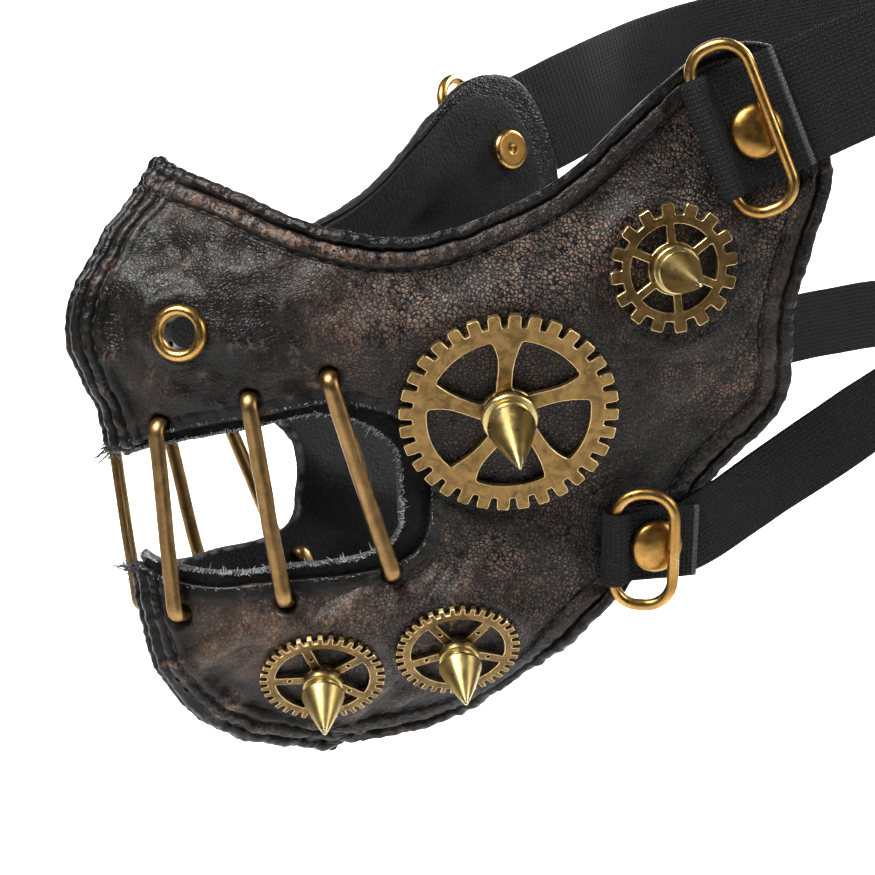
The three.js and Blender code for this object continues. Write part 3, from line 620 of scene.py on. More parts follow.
def near_line(line, query):
    """Distance to a line, and how far along it the nearest place is."""
    tree = kdtree.KDTree(len(line))
    for i, p in enumerate(line):
        tree.insert(p, i)
    tree.balance()
    length = lengths(line)
    flat = query.reshape(-1, 3)
    found = [tree.find(p)[1:] for p in flat]
    index = np.array([f[0] for f in found])
    return np.array([f[1] for f in found]).reshape(query.shape[:-1]), length[index].reshape(query.shape[:-1])


def ridge(d, low, high):
    """A round-topped row between two distances."""
    t = (2 * d - low - high) / (high - low)
    return np.sqrt(clamp(1 - t * t))


def valley(field, width):
    """1 along the line where a field crosses nought, falling off smoothly either side."""
    return np.exp(-(field / width) ** 2)


def patch(p, y, z, ry, rz):
    """1 at a place, fading out round it."""
    return np.exp(-(((p[..., 1] - y) / ry) ** 2 + ((p[..., 2] - z) / rz) ** 2))


many = np.linspace(0, 1, 1600)
outer_line = line_points(many, np.ones_like(many))
mouth_line = line_points(many, np.zeros_like(many))
seam_lines = [line_points(np.full(500, end), np.linspace(0, 1, 500)) for end in (0.0, 1.0)]


def strap_cover(p):
    """1 where a strap or its fold lies on the leather."""
    cover = np.zeros(p.shape[:-1])
    for name, strap in STRAPS.items():
        local = (p - strap_frame(name)[:3, 3]) @ strap_frame(name)[:3, :3]
        across = np.abs(local[..., 1] - strap["aside"]) - strap["width"] / 2
        inside = smooth((3.2 - across) / 2.2) * smooth((local[..., 0] + 16) / 2) * (np.abs(local[..., 2]) < 14)
        cover = np.maximum(cover, inside)
    return cover


def line_on_form(yz):
    w, s = on_form(np.array([yz[0]]), np.array([yz[1]]))
    return face_point(w, s)[0] + [SEAM_GAP, 0, 0]


def streaks(p, across, along, width, length, depth, seed):
    """Noise drawn out in one direction."""
    return noise(np.stack([across / width, along / length, p[..., 0] / depth], -1), 1.0, seed)


def body_folds(p):
    """Folds and creases of the leather away from its edges, and the fields that the looks need too."""
    y, z = p[..., 1], p[..., 2]
    h = 1.35 * noise(p, 17, 3) + 0.75 * noise(p, 8, 4)
    f = dict(snout=smooth((-62 - y) / 24) * smooth((z - 8) / 12),
             crease=valley(noise(p, 12, 5) + 0.4 * noise(p, 5, 6), 0.16),
             chin=smooth((-8 - z) / 9) * smooth((-38 - y) / 22),
             chin_folds=streaks(p, -0.75 * y + 0.66 * z, 0.66 * y + 0.75 * z, 4.6, 17, 30, 7))
    h = h - 0.1 * f["crease"]
    h = h + f["snout"] * (1.2 * noise(p, 10.5, 18) + 0.5 * noise(p, 4.6, 8))
    h = h + f["chin"] * (1.0 * f["chin_folds"] - 0.4 * valley(f["chin_folds"], 0.14))
    # one big slanting fold on the chin
    y0, z0, by_y, by_z = CHIN_FOLD
    t = clamp(((y - y0) * by_y + (z - z0) * by_z) / (by_y ** 2 + by_z ** 2))
    fold_d = np.hypot(y - y0 - by_y * t, z - z0 - by_z * t)
    f["big_fold"] = bell(fold_d, 0, 2.1) * (0.35 + 0.65 * np.sin(np.pi * t))
    h = h + 1.3 * f["big_fold"] - 0.7 * bell(fold_d, 4.2, 1.8) * np.sin(np.pi * t)
    # folds running back from the mouth corner under the cheek gear
    h = h + patch(p, -45, -8, 22, 10) * 0.8 * streaks(p, z - 0.5 * y, y + 0.5 * z, 5.5, 24, 40, 9)
    # creases that fan out behind the cheek gear
    f["back_cheek"] = patch(p, -4, 25, 13, 20)
    f["fan"] = streaks(p, 0.86 * z - 0.5 * y, 0.86 * y + 0.5 * z, 5, 19, 40, 23)
    return h + f["back_cheek"] * (1.0 * f["fan"] - 0.3 * valley(f["fan"], 0.14)), f


def hem_relief(shift, d_out, pucker, slow, grit, nose_hem):
    """The rolled outer edge and the puckered band inside it."""
    hem = (0.95 + 0.4 * pucker + 0.2 * grit) * ridge(shift, *ROLLED_EDGE) + 0.25 * smooth((7.5 - d_out) / 1.6)
    lumps = (0.7 + 0.25 * nose_hem) + (0.35 + 0.25 * nose_hem) * (pucker + 0.7 * slow) + 0.22 * grit
    hem = hem + lumps * ridge(shift, *HEM_BAND)
    return hem - 0.5 * bell(shift, HEM_GROOVE, 0.3) - 0.65 * bell(d_out, HEM_STITCHES, 0.4)


def seam_relief(d_seam, ruck, slow_ruck, grit):
    """The seam down the middle, its allowances turned and topstitched."""
    seam = (1.25 + 0.35 * ruck + 0.15 * grit) * ridge(d_seam, *SEAM_ROWS[0])
    seam = seam + (1.0 + 0.4 * ruck + 0.25 * slow_ruck + 0.15 * grit) * ridge(d_seam, *SEAM_ROWS[1])
    seam = seam + (0.75 + 0.3 * slow_ruck) * ridge(d_seam, *SEAM_ROWS[2]) + 0.3 * smooth((10.5 - d_seam) / 1.6)
    seam = seam - 0.6 * bell(d_seam, 0, 0.45)
    for groove in SEAM_GROOVES:
        seam = seam - 0.4 * bell(d_seam, groove, 0.35)
    return seam


def leather_relief(p):
    """Height of the leather over the plain form, the four looks of each place, and its distance from the edges."""
    d_out, a_out = near_line(outer_line, p)
    d_mouth, a_mouth = near_line(mouth_line, p)
    seams = [near_line(line, p) for line in seam_lines]
    d_seam_true = np.minimum(seams[0][0], seams[1][0])
    a_seam = np.where(seams[0][0] < seams[1][0], seams[0][1], 200 + seams[1][1])
    y, z = p[..., 1], p[..., 2]
    h, f = body_folds(p)
    pucker, slow = noise1(a_out, 1.5, 1), noise1(a_out, 4.0, 2)
    nose_hem = smooth((-48 - y) / 22) * smooth((z - 38) / 8)
    grit = noise(p, 1.1, 21)
    hem = hem_relief(d_out + 0.35 * slow + 0.2 * pucker, d_out, pucker, slow, grit, nose_hem)
    ruck, slow_ruck = noise1(a_seam, 1.6, 3), noise1(a_seam, 4.5, 4)
    d_seam = d_seam_true + (0.3 * slow_ruck + 0.15 * ruck) * smooth(d_seam_true / 1.5)
    seam = seam_relief(d_seam, ruck, slow_ruck, grit)
    lip = (0.2 + 0.35 * noise1(a_mouth, 2.1, 6)) * ridge(d_mouth, -1.2, 2.6) - 0.12 * bell(d_mouth, 3.2, 0.8)
    trim = np.maximum(np.maximum(hem, seam), lip) + np.minimum(np.minimum(hem, seam), 0)
    near_trim = np.maximum.reduce([smooth((7 - d_out) / 3), smooth((10.5 - d_seam) / 3), smooth((4 - d_mouth) / 2)])
    h = h * (1 - 0.6 * near_trim) + trim
    # nothing pokes into what lies on the leather
    under = np.zeros_like(h)
    for name, gear in GEARS.items():
        beyond = np.linalg.norm(p - flats[name][0], axis=-1) - gear["tip"]
        under = np.maximum(under, 1 - smooth((beyond - 0.6) / 3.5))
    eye = np.linalg.norm(p - flats["eyelet"][0], axis=-1)
    under = np.maximum(under, 1 - smooth((eye - 6) / 2.5))
    covered = strap_cover(p)
    level = np.maximum(under, covered)
    h = h * (1 - level) + np.clip(h, -0.7, 0.04) * 0.7 * level
    # a punched hole is drawn in round each bar end
    pit = np.min([np.linalg.norm(p - line_on_form(end), axis=-1) for ends in BARS for end in ends], axis=0)
    in_pit = 1 - smooth((pit - 1.3) / 1.2)
    h = np.clip(h - 1.1 * in_pit + 0.3 * bell(pit, 3.2, 0.9), -1.3, 2.6)
    # looks
    tan = 0.1 + 0 * h
    for *place, strength in WORN_PLACES:
        tan = np.maximum(tan, strength * patch(p, *place) ** 0.8)
    tan = tan * (1 - 0.75 * patch(p, -73, 51, 9, 5)) * (1 - 0.6 * patch(p, -14, 6, 10, 8))
    hem_rub = nose_hem * smooth((d_out - 2.2) / 0.5) * smooth((5.9 - d_out) / 0.8)
    rub = np.maximum.reduce([
        hem_rub * clamp(0.75 + pucker * 0.8),
        0.3 * ridge(d_out, *HEM_BAND) * clamp(0.4 + pucker),
        0.22 * ridge(d_seam, *SEAM_ROWS[1]) * clamp(0.4 + ruck),
        0.85 * f["big_fold"],
        0.6 * f["back_cheek"] * clamp(f["fan"] * 2.2 - 0.1),
        0.9 * f["chin"] * clamp(f["chin_folds"] * 2.4 - 0.1),
        0.6 * f["snout"] * clamp(noise(p, 4.6, 8) * 2.4 - 0.4)])
    # dirt in the hem and seam grooves and along the edges; painted shade in the bar pits, under and beside the straps
    # and in the creases
    dirt = clamp(np.maximum.reduce([
        bell(d_out, HEM_GROOVE, 0.4) * 0.8, bell(d_out, 6.0, 0.5), bell(d_seam, 0, 0.5),
        *(bell(d_seam, groove, 0.4) for groove in SEAM_GROOVES), 0.6 * smooth((2.1 - d_out) / 0.4),
        bell(d_seam, 9.3, 0.5) * 0.7, 0.5 * smooth((2.8 - d_mouth) / 1.5), in_pit, 0.6 * covered,
        0.15 * f["crease"], 0.55 * smooth((2.6 - d_seam) / 0.6)]))
    grain = (0.5 + 0.5 * smooth((y + 92) / 30)) * (1 - 0.5 * near_trim) * (1 - 0.25 * f["chin"])
    marks = dict(tan=tan * (1 - 0.75 * near_trim), rub=rub * (1 - covered), dirt=dirt, grain=grain)
    return h, marks, d_out, d_seam_true


def compress(points, faces, attributes):
    """Leaves out the points that no face uses."""
    used = np.unique(np.concatenate([np.asarray(f) for f in faces]))
    where = np.full(len(points), -1)
    where[used] = np.arange(len(used))
    return points[used], [tuple(int(where[i]) for i in f) for f in faces], {k: a[used] for k, a in attributes.items()}


def shell(u, v, rise, floor, looks=None):
    """A closed sheet on the form: rows of v on the outside, round its edges and back along the inside.
    The eyelet's hole is left out of it. looks is a look and its value along the inner rim."""
    grid_u, grid_v = np.meshgrid(u, v)
    w, s = panel_place(grid_u, grid_v)
    base, out = face_point(w, s), normal_of(face_point, w, s)
    base[..., 0] = np.maximum(base[..., 0], 0) + SEAM_GAP
    height, marks = rise(base, grid_v)
    top = base + out * height[..., None]
    bottom = base - out * floor
    steps = np.linspace(0, len(v) - 1, 26).round().astype(int)
    rows, kept = [top], {k: [a] for k, a in marks.items()}

    def rim(row, inward):
        outward = unit(base[row] - base[inward])
        middle, half = (top[row] + bottom[row]) / 2, (top[row] - bottom[row]) / 2
        reach = np.linalg.norm(half, axis=-1, keepdims=True)
        return [middle + half * math.cos(a) + outward * reach * 0.9 * math.sin(a) for a in
                (math.pi / 4, math.pi / 2, 3 * math.pi / 4)]

    def keep(row, times, change=None):
        for k in kept:
            kept[k].append(np.repeat(marks[k][row][None], times, 0))
        if change:
            kept[change[0]][-1] = np.full((times, len(u)), change[1])

    last = len(v) - 1
    rows.append(np.array(rim(last, last - 1)))
    keep(last, 3)
    rows.append(bottom[steps[::-1]])
    for k in kept:
        kept[k].append(marks[k][steps[::-1]])
    rows.append(np.array(rim(0, 1))[::-1])
    keep(0, 3, looks)
    body = np.concatenate(rows)
    count, columns = body.shape[:2]
    points = body.reshape(-1, 3)
    faces = grid_faces(count, columns, wrap_rows=True)
    centres = points[faces].mean(1)
    m = frame_on("eyelet", (0, 1, 0))
    local = (centres - m[:3, 3]) @ m[:3, :3]
    faces = faces[(np.hypot(local[:, 0], local[:, 1]) > EYELET_HOLE) | (np.abs(local[:, 2]) > 8)].tolist()
    faces.append([i * columns for i in range(count)][::-1])
    faces.append([i * columns + columns - 1 for i in range(count)])
    attributes = {k: np.concatenate(a).reshape(-1) for k, a in kept.items()}
    return (*compress(points, faces, attributes), base, out, top)


def stitches(line, out, pitch, length, radius, lift=0.1):
    """Separate stitches along a line of places with their outward directions."""
    far = lengths(line)
    parts, at = [], pitch * 0.5
    while at < far[-1] - pitch:
        this = length * rng.uniform(0.85, 1.1)
        t = np.linspace(at, at + this, 6)
        place = places(t, far, line)
        up = places(t, far, out)
        arch = np.sin(np.linspace(0, math.pi, 6))[:, None] * 0.42 - 0.3 + lift
        parts.append(thread(place + up * arch + rng.normal(0, 0.03, 3), radius))
        at += pitch * rng.uniform(0.94, 1.06)
    return parts


def at_distance(distance, place, out, target):
    """Along each line of a grid, the first place where a distance passes its target."""
    beyond = distance >= target
    index = np.argmax(beyond, axis=1)
    good = beyond.any(1) & (index > 0)
    i = np.maximum(index, 1)
    k = np.arange(len(i))
    t = ((target - distance[k, i - 1]) / np.maximum(distance[k, i] - distance[k, i - 1], 1e-9))[:, None]
    return (place[k, i - 1] * (1 - t) + place[k, i] * t)[good], out[k, i][good]


LEATHER_COLUMNS, LEATHER_ROWS = 620, 190
u_leather = even_u(LEATHER_COLUMNS, 1.0, 0.45)
t = np.linspace(0, 1, LEATHER_ROWS)
v_leather = t - 0.72 * np.sin(2 * np.pi * t) / (2 * np.pi)
relief_facts = {}


def leather_rise(base, v):
    height, marks, d_out, d_seam = leather_relief(base)
    relief_facts.update(d_out=d_out, d_seam=d_seam)
    return height, marks


points, faces, marks, base, out, top = shell(u_leather, v_leather, leather_rise, LEATHER)
pair("leather_panel_SIDE", points, faces, LEATHER_LOOK, "root", "leather_SIDE", "leather", marks)

d_out, d_seam = relief_facts["d_out"], relief_facts["d_seam"]
line, line_out = at_distance(d_out[::-1].T, top[::-1].transpose(1, 0, 2), out[::-1].transpose(1, 0, 2), HEM_STITCHES)
parts = stitches(line, line_out, pitch=3.3, length=2.5, radius=0.2)
half = len(u_leather) // 2
for target in SEAM_STITCHES:
    for part in (slice(0, half), slice(None, half, -1)):
        line, line_out = at_distance(d_seam[:, part], top[:, part], out[:, part], target)
        parts += stitches(line, line_out, pitch=3.0, length=2.2, radius=0.19)
open_to_view = [p for p in parts if strap_cover(p[0][:1])[0] < 0.3 and (p[0][:, 0] > 0.15).all()]
pair("stitching_SIDE", *joined(open_to_view), THREAD_LOOK, "root", None, "leather")

# ---- lining
u_lining = even_u(420, 0.0, 0.2)
v_lining = np.concatenate([np.linspace(-1, 0, 22), np.linspace(0, 0.95, 70)[1:]])


def lining_rise(base, v):
    edge = clamp(-v)
    swell = noise(base, 3.2, 12) * 0.22 + noise(base, 1.1, 13) * 0.1
    h = -(LEATHER + GAP) + edge ** 0.8 * (0.45 + swell)
    raw = smooth((-v - 0.93) / 0.06) * clamp(0.35 + noise(base, 2.4, 14) * 1.1)
    return h, dict(raw=raw)


points, faces, marks, lining_base, lining_out, lining_top = shell(u_lining, v_lining, lining_rise, SKIN, ("raw", 0.3))
pair("knit_lining_SIDE", points, faces, LINING_LOOK, "root", "lining_SIDE", "lining", marks)


def tufts(origin, direction, normal, count, reach, radius, spread):
    """Loose fibres that stand out from an edge."""
    parts = []
    for _ in range(count):
        k = rng.integers(0, len(origin))
        way = unit(direction[k] + rng.normal(0, spread, 3))
        bend = rng.normal(0, 0.45, 3) + normal[k] * 0.2
        length = rng.uniform(*reach)
        t = np.linspace(0, 1, 5)[:, None]
        start = origin[k] - direction[k] * 0.4 + normal[k] * rng.uniform(-0.45, 0.3)
        parts.append(thread(start + way * length * t + bend * length * t * t * 0.7, rng.uniform(*radius), 5))
    return joined(parts)


ledge_in = unit(lining_base[0] - lining_base[1])
mouth_in = unit(base[0] - base[1])
for right, side in SIDES:
    keep = lining_top[0][:, 0] > 1.2
    p, f = tufts(lining_top[0][keep], ledge_in[keep], lining_out[0][keep], 900, (0.3, 1.5), (0.035, 0.07), 0.5)
    make(f"lining_fray_{side}", p, f, FRAY_LOOK, "root", None, right)
    keep = top[0][:, 0] > 1.2
    p, f = tufts(top[0][keep], mouth_in[keep], out[0][keep] * 0.2, 220, (0.25, 0.8), (0.03, 0.055), 0.35)
    make(f"leather_fray_{side}", p, f, FRAY_LOOK, "root", None, right)
    parts = []
    for row, column, down in ((0, 6, -1), (0, -7, 1)):
        origin = np.repeat(top[row, column][None], 2, 0) + [0.6, 0, 0]
        away = unit(np.array([[0.15, -0.75, 0.6 * down]] * 2))
        normal = np.repeat(out[row, column][None], 2, 0)
        parts.append(tufts(origin, away, normal, 16, (1.5, 4.5), (0.09, 0.15), 0.55))
    p, f = joined(parts)
    make(f"seam_end_threads_{side}", p, f, THREAD_LOOK, "root", None, right)

# ---- gears
BORE, GEAR_BEVEL = 1.7, 0.17


def circle(radius, count=28, centre=(0, 0)):
    a = round_angles(count)
    return np.stack([centre[0] + radius * np.cos(a), centre[1] + radius * np.sin(a)], -1)


def chaikin(loop, times=2):
    """A closed loop with its corners cut, and cut again."""
    for _ in range(times):
        after = np.roll(loop, -1, axis=0)
        loop = np.stack([0.75 * loop + 0.25 * after, 0.25 * loop + 0.75 * after], 1).reshape(-1, 2)
    return loop


def gear_loops(g, name):
    """The outline with its teeth, the bore, the windows between the spokes and the chin gears' small holes."""
    pitch = 2 * math.pi / g["teeth"]
    depth = g["tip"] - g["root"]
    broad = {"cheek": 1, "temple": 0.86}.get(name, 0.82)
    tooth = [(0, -.44), (0, -.385), (.1, -.345), (.8, -.305), (1, -.235), (1, .235), (.8, .305), (.1, .345), (0, .385),
             (0, .44)]
    tooth = [(rise, share * broad) for rise, share in tooth]
    outline = []
    for i in range(g["teeth"]):
        lean = rng.normal(0, 0.006)
        for rise, share in tooth:
            r, a = g["root"] + rise * depth, (i + share + lean) * pitch
            outline.append((r * math.cos(a), r * math.sin(a)))
    loops = [np.array(outline), circle(BORE)]
    span = 2 * math.pi / g["spokes"]
    for k in range(g["spokes"]):
        def side(r, edge):
            t = (r - g["hub"]) / (g["rim"] - g["hub"])
            # the side that leads is drawn in a curve, and the side that trails is nearly straight
            bow = g.get("flare", 0) * (0.11 * math.sin(math.pi * t) if edge < 0 else -0.02 * math.sin(math.pi * t))
            wide = g["spoke"] + g.get("flare", 0) * t ** 1.5
            return k * span + g["swirl"] * t ** 0.8 - 0.3 * bow + edge * (span / 2 - wide / 2 / r)
        radii = np.linspace(g["hub"], g["rim"], 9)
        out = [(r, side(r, -1)) for r in radii]
        out += [(g["rim"], a) for a in np.linspace(out[-1][1], side(g["rim"], 1), 10)[1:-1]]
        out += [(r, side(r, 1)) for r in radii[::-1]]
        out += [(g["hub"], a) for a in np.linspace(out[-1][1], out[0][1], 6)[1:-1]]
        loops.append(chaikin(np.array([(r * math.cos(a), r * math.sin(a)) for r, a in out])))
        if name.startswith("chin"):
            a = (k + 0.5) * span
            loops.append(circle(0.42, 12, (6.6 * math.cos(a), 6.6 * math.sin(a))))
    return loops


def plate(loops, thick, bevel):
    """A flat plate with rounded edges from closed loops, as points, faces and how worn each face is."""
    curve = bpy.data.curves.new("plate", "CURVE")
    curve.dimensions, curve.fill_mode = "2D", "BOTH"
    curve.extrude, curve.bevel_depth, curve.bevel_resolution, curve.offset = thick / 2 - bevel, bevel, 2, -bevel
    for loop in loops:
        spline = curve.splines.new("POLY")
        spline.points.add(len(loop) - 1)
        spline.points.foreach_set("co", np.column_stack([loop, np.zeros(len(loop)), np.ones(len(loop))]).ravel())
        spline.use_cyclic_u = True
    obj = added("plate", curve)
    mesh = bpy.data.meshes.new_from_object(obj.evaluated_get(bpy.context.evaluated_depsgraph_get()))
    points = np.array([v.co for v in mesh.vertices], float)
    faces = [tuple(p.vertices) for p in mesh.polygons]
    slope = np.array([abs(p.normal.z) for p in mesh.polygons])
    bpy.data.objects.remove(obj)
    bpy.data.meshes.remove(mesh)
    return points, faces, np.where((slope > 0.1) & (slope < 0.985), 1.0, np.where(slope <= 0.1, 0.45, 0.0))


for name, g in GEARS.items():
    points, faces, worn = plate(gear_loops(g, name), g["thick"], GEAR_BEVEL)
    a = g["turn"]
    spin = np.array([[math.cos(a), -math.sin(a), 0], [math.sin(a), math.cos(a), 0], [0, 0, 1]])
    placed = apply(frame_on(name, (0, 1, 0)), points @ spin.T + [0, 0, GAP + g["thick"] / 2])
    look = DARK_BRONZE_LOOK if name.startswith("chin") else BRONZE_LOOK
    for cog in pair(f"{name}_cog_SIDE", placed, faces, look, f"{name}_gear_SIDE", f"{name}_gear_SIDE",
                    "antique_bronze", edges=dict(worn=worn)):
        cog.data.polygons.foreach_set("use_smooth", [False] * len(cog.data.polygons))

# ---- spikes, screws
# base radius and length, then the collars' profiles as shares of them
SPIKES = {"cheek": (5.1, 21.5), "temple": (4.4, 17.5), "chin_front": (4.2, 13.9), "chin_rear": (4.2, 13.9)}
WIDE_COLLAR = [(.8, 0), (1.02, 0), (1.1, .02), (1.13, .05), (1.12, .085), (1.06, .105), (.9, .11), (.82, .125),
               (.8, .15), (.82, .18), (.9, .2), (.94, .215), (.95, .235)]
SLIM_COLLAR = [(.84, 0), (.9, 0), (.97, .02), (.99, .07), (.97, .13), (.9, .15), (.78, .155), (.74, .18), (.74, .215),
               (.8, .235), (.95, .245), (1.03, .265), (1.03, .3)]


SPIKE_SEGMENTS, SCREW_SEGMENTS, ROUND_SEGMENTS = 64, 96, 72
SCREW_TURNS, SCREW_PITCH = 9, 0.7
for name, (radius, length) in SPIKES.items():
    slim = name.startswith("chin")
    profile = [(r * radius, h * length) for r, h in (SLIM_COLLAR if slim else WIDE_COLLAR)]
    base_r, base_h = profile[-1]
    for t in np.linspace(0.03, 1, 22):
        swell = 0.05 * math.sin(math.pi * t) * base_r
        profile.append((base_r * (1 - t) + 0.42 * t + swell, base_h + (length * 0.975 - base_h) * t))
    profile += [(0.34, length * 0.988), (0.18, length * 0.997), (0.001, length)]
    profile = softened([(0.001, 0)] + profile, 0.1, 2)
    frame_here = frame_on(name, (0, 1, 0)).copy()
    frame_here[:3, 3] += frame_here[:3, 2] * (GAP + GEARS[name]["thick"] + GAP)

    points, faces = turned(profile, SPIKE_SEGMENTS)
    height = points[:, 2] / length
    worn = clamp(smooth((height - 0.82) / 0.15) + bell(height, 0.05, 0.05) * 0.8 + bell(height, 0.25, 0.03) * 0.8)
    pair(f"{name}_cone_SIDE", apply(frame_here, points), faces, SPIKE_LOOK, "root", f"{name}_spike_SIDE",
         "spike_brass", dict(worn=worn, along=points[:, 2]))
    # the screw: a pan head with a cross slot, a plain shank and a thread
    low = BACK_FACE - 1.5
    head = [(0.001, low), (0.4, low), (0.8, low + 0.01), (1.2, low + 0.03), (1.6, low + 0.08), (2.1, low + 0.2),
            (2.6, low + 0.5), (2.88, low + 0.9), (2.9, low + 1.3), (2.75, BACK_FACE), (1.4, BACK_FACE)]
    thread_turns = []
    for k in range(SCREW_TURNS):
        h = BACK_FACE + 3.4 + k * SCREW_PITCH
        thread_turns += [(1.36, h), (1.12, h + SCREW_PITCH / 2)]
    profile = softened(head + [(1.36, BACK_FACE + 3.2)] + thread_turns + [(0.001, BACK_FACE + 9.9)], 0.08, 2)
    points, faces = turned(profile, SCREW_SEGMENTS)
    r = np.hypot(points[:, 0], points[:, 1])
    in_slot = (np.minimum(np.abs(points[:, 0]), np.abs(points[:, 1])) < 0.3) & (r < 1.75) & (points[:, 2] < low + 0.3)
    points[in_slot, 2] += 0.6
    pair(f"{name}_bolt_SIDE", apply(frame_on(name, (0, 1, 0)), points), faces, STEEL_LOOK, "root",
         f"{name}_screw_SIDE", "steel", dict(worn=bell(r, 2.7, 0.4)))

# ---- eyelets
eyelet_frame = frame_on("eyelet", (0, 1, 0))
back = BACK_FACE - 0.5 - GAP - 0.4
# the rolled rim outside, the barrel, and the flare that is pressed over the washer inside
arc = [(4.55 - 1.25 * math.cos(a), 0.25 + 1.55 * math.sin(a)) for a in np.linspace(0, math.pi, 20)]
profile = [(3.3, back + 0.3), (3.3, -0.6)] + arc + [(5.74, 0.08), (5.5, 0.0), (4.4, 0.0), (3.7, -0.1),
                                                    (3.7, back + 0.45), (4.9, back + 0.42), (5.0, back + 0.2),
                                                    (4.8, back), (3.6, back - 0.02), (3.3, back + 0.3)]
points, faces = turned(profile, ROUND_SEGMENTS)
points[:, 2] += 0.05 * np.sin(3 * np.arctan2(points[:, 1], points[:, 0]))
eyelet_worn = bell(points[:, 2], 1.8, 0.3)
# painted shade down the inside of the eyelet's barrel
eyelet_hole_shade = smooth((0.9 - points[:, 2]) / 0.9) * (np.hypot(points[:, 0], points[:, 1]) < 4.3)
pair("eyelet_ring_SIDE", apply(eyelet_frame, points), faces, SHINY_LOOK, "root", "eyelet_SIDE", "shiny_brass",
     dict(worn=eyelet_worn, hole_shade=eyelet_hole_shade))
washer = [(4.0, -3.5), (4.3, -3.55), (5.9, -3.5), (6.15, -3.4), (6.2, -3.2), (6.0, -3.02), (4.3, -3.0), (4.0, -3.1),
          (4.0, -3.5)]
points, faces = turned(washer, ROUND_SEGMENTS)
points[:, 2] += 0.06 * np.sin(12 * np.arctan2(points[:, 1], points[:, 0]))
pair("eyelet_back_SIDE", apply(eyelet_frame, points), faces, SHINY_LOOK, "root", "eyelet_washer_SIDE",
     "shiny_brass", dict(worn=bell(np.hypot(points[:, 0], points[:, 1]), 6.1, 0.3)))

# ---- mouth bars
# half widths of the rod, how far it stands off the leather, its bent ends inside, and its corners
ROD_ACROSS, ROD_DEEP, STAND, CLINCH, CORNER = 1.7, 1.2, 1.6, 4.5, 2.2
ROD_SIDES, ROD_STEPS = 24, 110
for index, (top_yz, bottom_yz) in enumerate(BARS):
    ends = []
    for yz in (top_yz, bottom_yz):
        w, s = on_form(np.array([yz[0]]), np.array([yz[1]]))
        ends.append((line_on_form(yz), normal_of(face_point, w, s)[0]))
    (up_p, up_n), (low_p, low_n) = ends
    down = unit(up_p - low_p)
    inside, outside = SKIN + GAP + ROD_DEEP, STAND + ROD_DEEP
    route = [up_p - up_n * inside + down * CLINCH, up_p - up_n * inside, up_p + up_n * outside,
             low_p + low_n * outside, low_p - low_n * inside, low_p - low_n * inside - down * CLINCH]
    path = softened(route, CORNER, 8)
    far = lengths(path)
    fine = np.unique(np.concatenate([np.linspace(0, far[-1], ROD_STEPS), far]))
    path = places(fine, far, path)
    side = unit(np.cross(up_p - low_p, up_n + low_n))
    ahead = unit(np.gradient(path, axis=0))
    deep = unit(np.cross(side, ahead))
    # pressed a little flatter at the bends, and never quite straight
    bends = bell(fine, far[9], 3.0) + bell(fine, far[-10], 3.0)
    waver = np.stack([noise1(fine, 13, 20 + index * 3 + k) for k in range(3)], -1) * 0.22
    wide = (ROD_ACROSS * (1 + 0.1 * bends + 0.03 * noise1(fine, 3, 30 + index)))[:, None]
    thin = (ROD_DEEP * (1 - 0.08 * bends + 0.03 * noise1(fine, 4, 40 + index)))[:, None]
    path = path + waver * smooth((fine - 5) / 6)[:, None] * smooth((far[-1] - 5 - fine) / 6)[:, None]
    points, faces = swept(path, np.repeat(side[None], len(path), 0), deep, wide, thin, ROD_SIDES)
    angle = np.tile(round_angles(ROD_SIDES), len(path))
    worn = clamp(0.35 * np.abs(np.cos(angle)) ** 4 + np.repeat(clamp(bends), ROD_SIDES) * 0.25)
    pair(f"mouth_bar_SIDE_{index + 1}", points, faces, BAR_LOOK, "root", f"bar_SIDE_{index + 1}", "bar_brass",
         dict(worn=worn))

# ---- straps, rings and rivets
# the elastic's thickness, the wire's radius, and the ring's width, corners and lean
STRAP, WIRE, RING_WIDE, RING_CORNER, RING_LIFT = 1.2, 1.2, 12, 5.4, math.radians(21)
# the fold round the ring, the heights of its two layers, where it lies, and where the cut end stops
FOLD_RADIUS, LOW_LAYER = WIRE + GAP + STRAP / 2, GAP + STRAP / 2
FOLD_HEIGHT, TOP_LAYER, FOLD_LEAD, CUT_END = LOW_LAYER + FOLD_RADIUS, LOW_LAYER + STRAP + GAP, 8.8, 18
LOOP_STEPS, BAND_COLUMNS, WIRE_SIDES = 260, 44, 24


def catmull(points, t):
    """Centripetal Catmull-Rom at shares t of the whole, as the CAD's loop."""
    points = np.asarray(points, float)
    last = len(points) - 1
    out = []
    for share in t:
        p = last * share
        i = min(int(math.floor(p)), last - 1)
        x = p - i
        p1, p2 = points[i], points[i + 1]
        p0 = points[i - 1] if i > 0 else 2 * points[0] - points[1]
        p3 = points[i + 2] if i + 2 <= last else 2 * points[last] - points[last - 1]
        d0, d1, d2 = (np.linalg.norm(b - a) ** 0.5 for a, b in ((p0, p1), (p1, p2), (p2, p3)))
        m1 = ((p1 - p0) / d0 - (p2 - p0) / (d0 + d1) + (p2 - p1) / d1) * d1
        m2 = ((p2 - p1) / d1 - (p3 - p1) / (d1 + d2) + (p3 - p2) / d2) * d1
        c2, c3 = -3 * p1 + 3 * p2 - 2 * m1 - m2, 2 * p1 - 2 * p2 + m1 + m2
        out.append(p1 + m1 * x + c2 * x * x + c3 * x ** 3)
    return np.array(out)


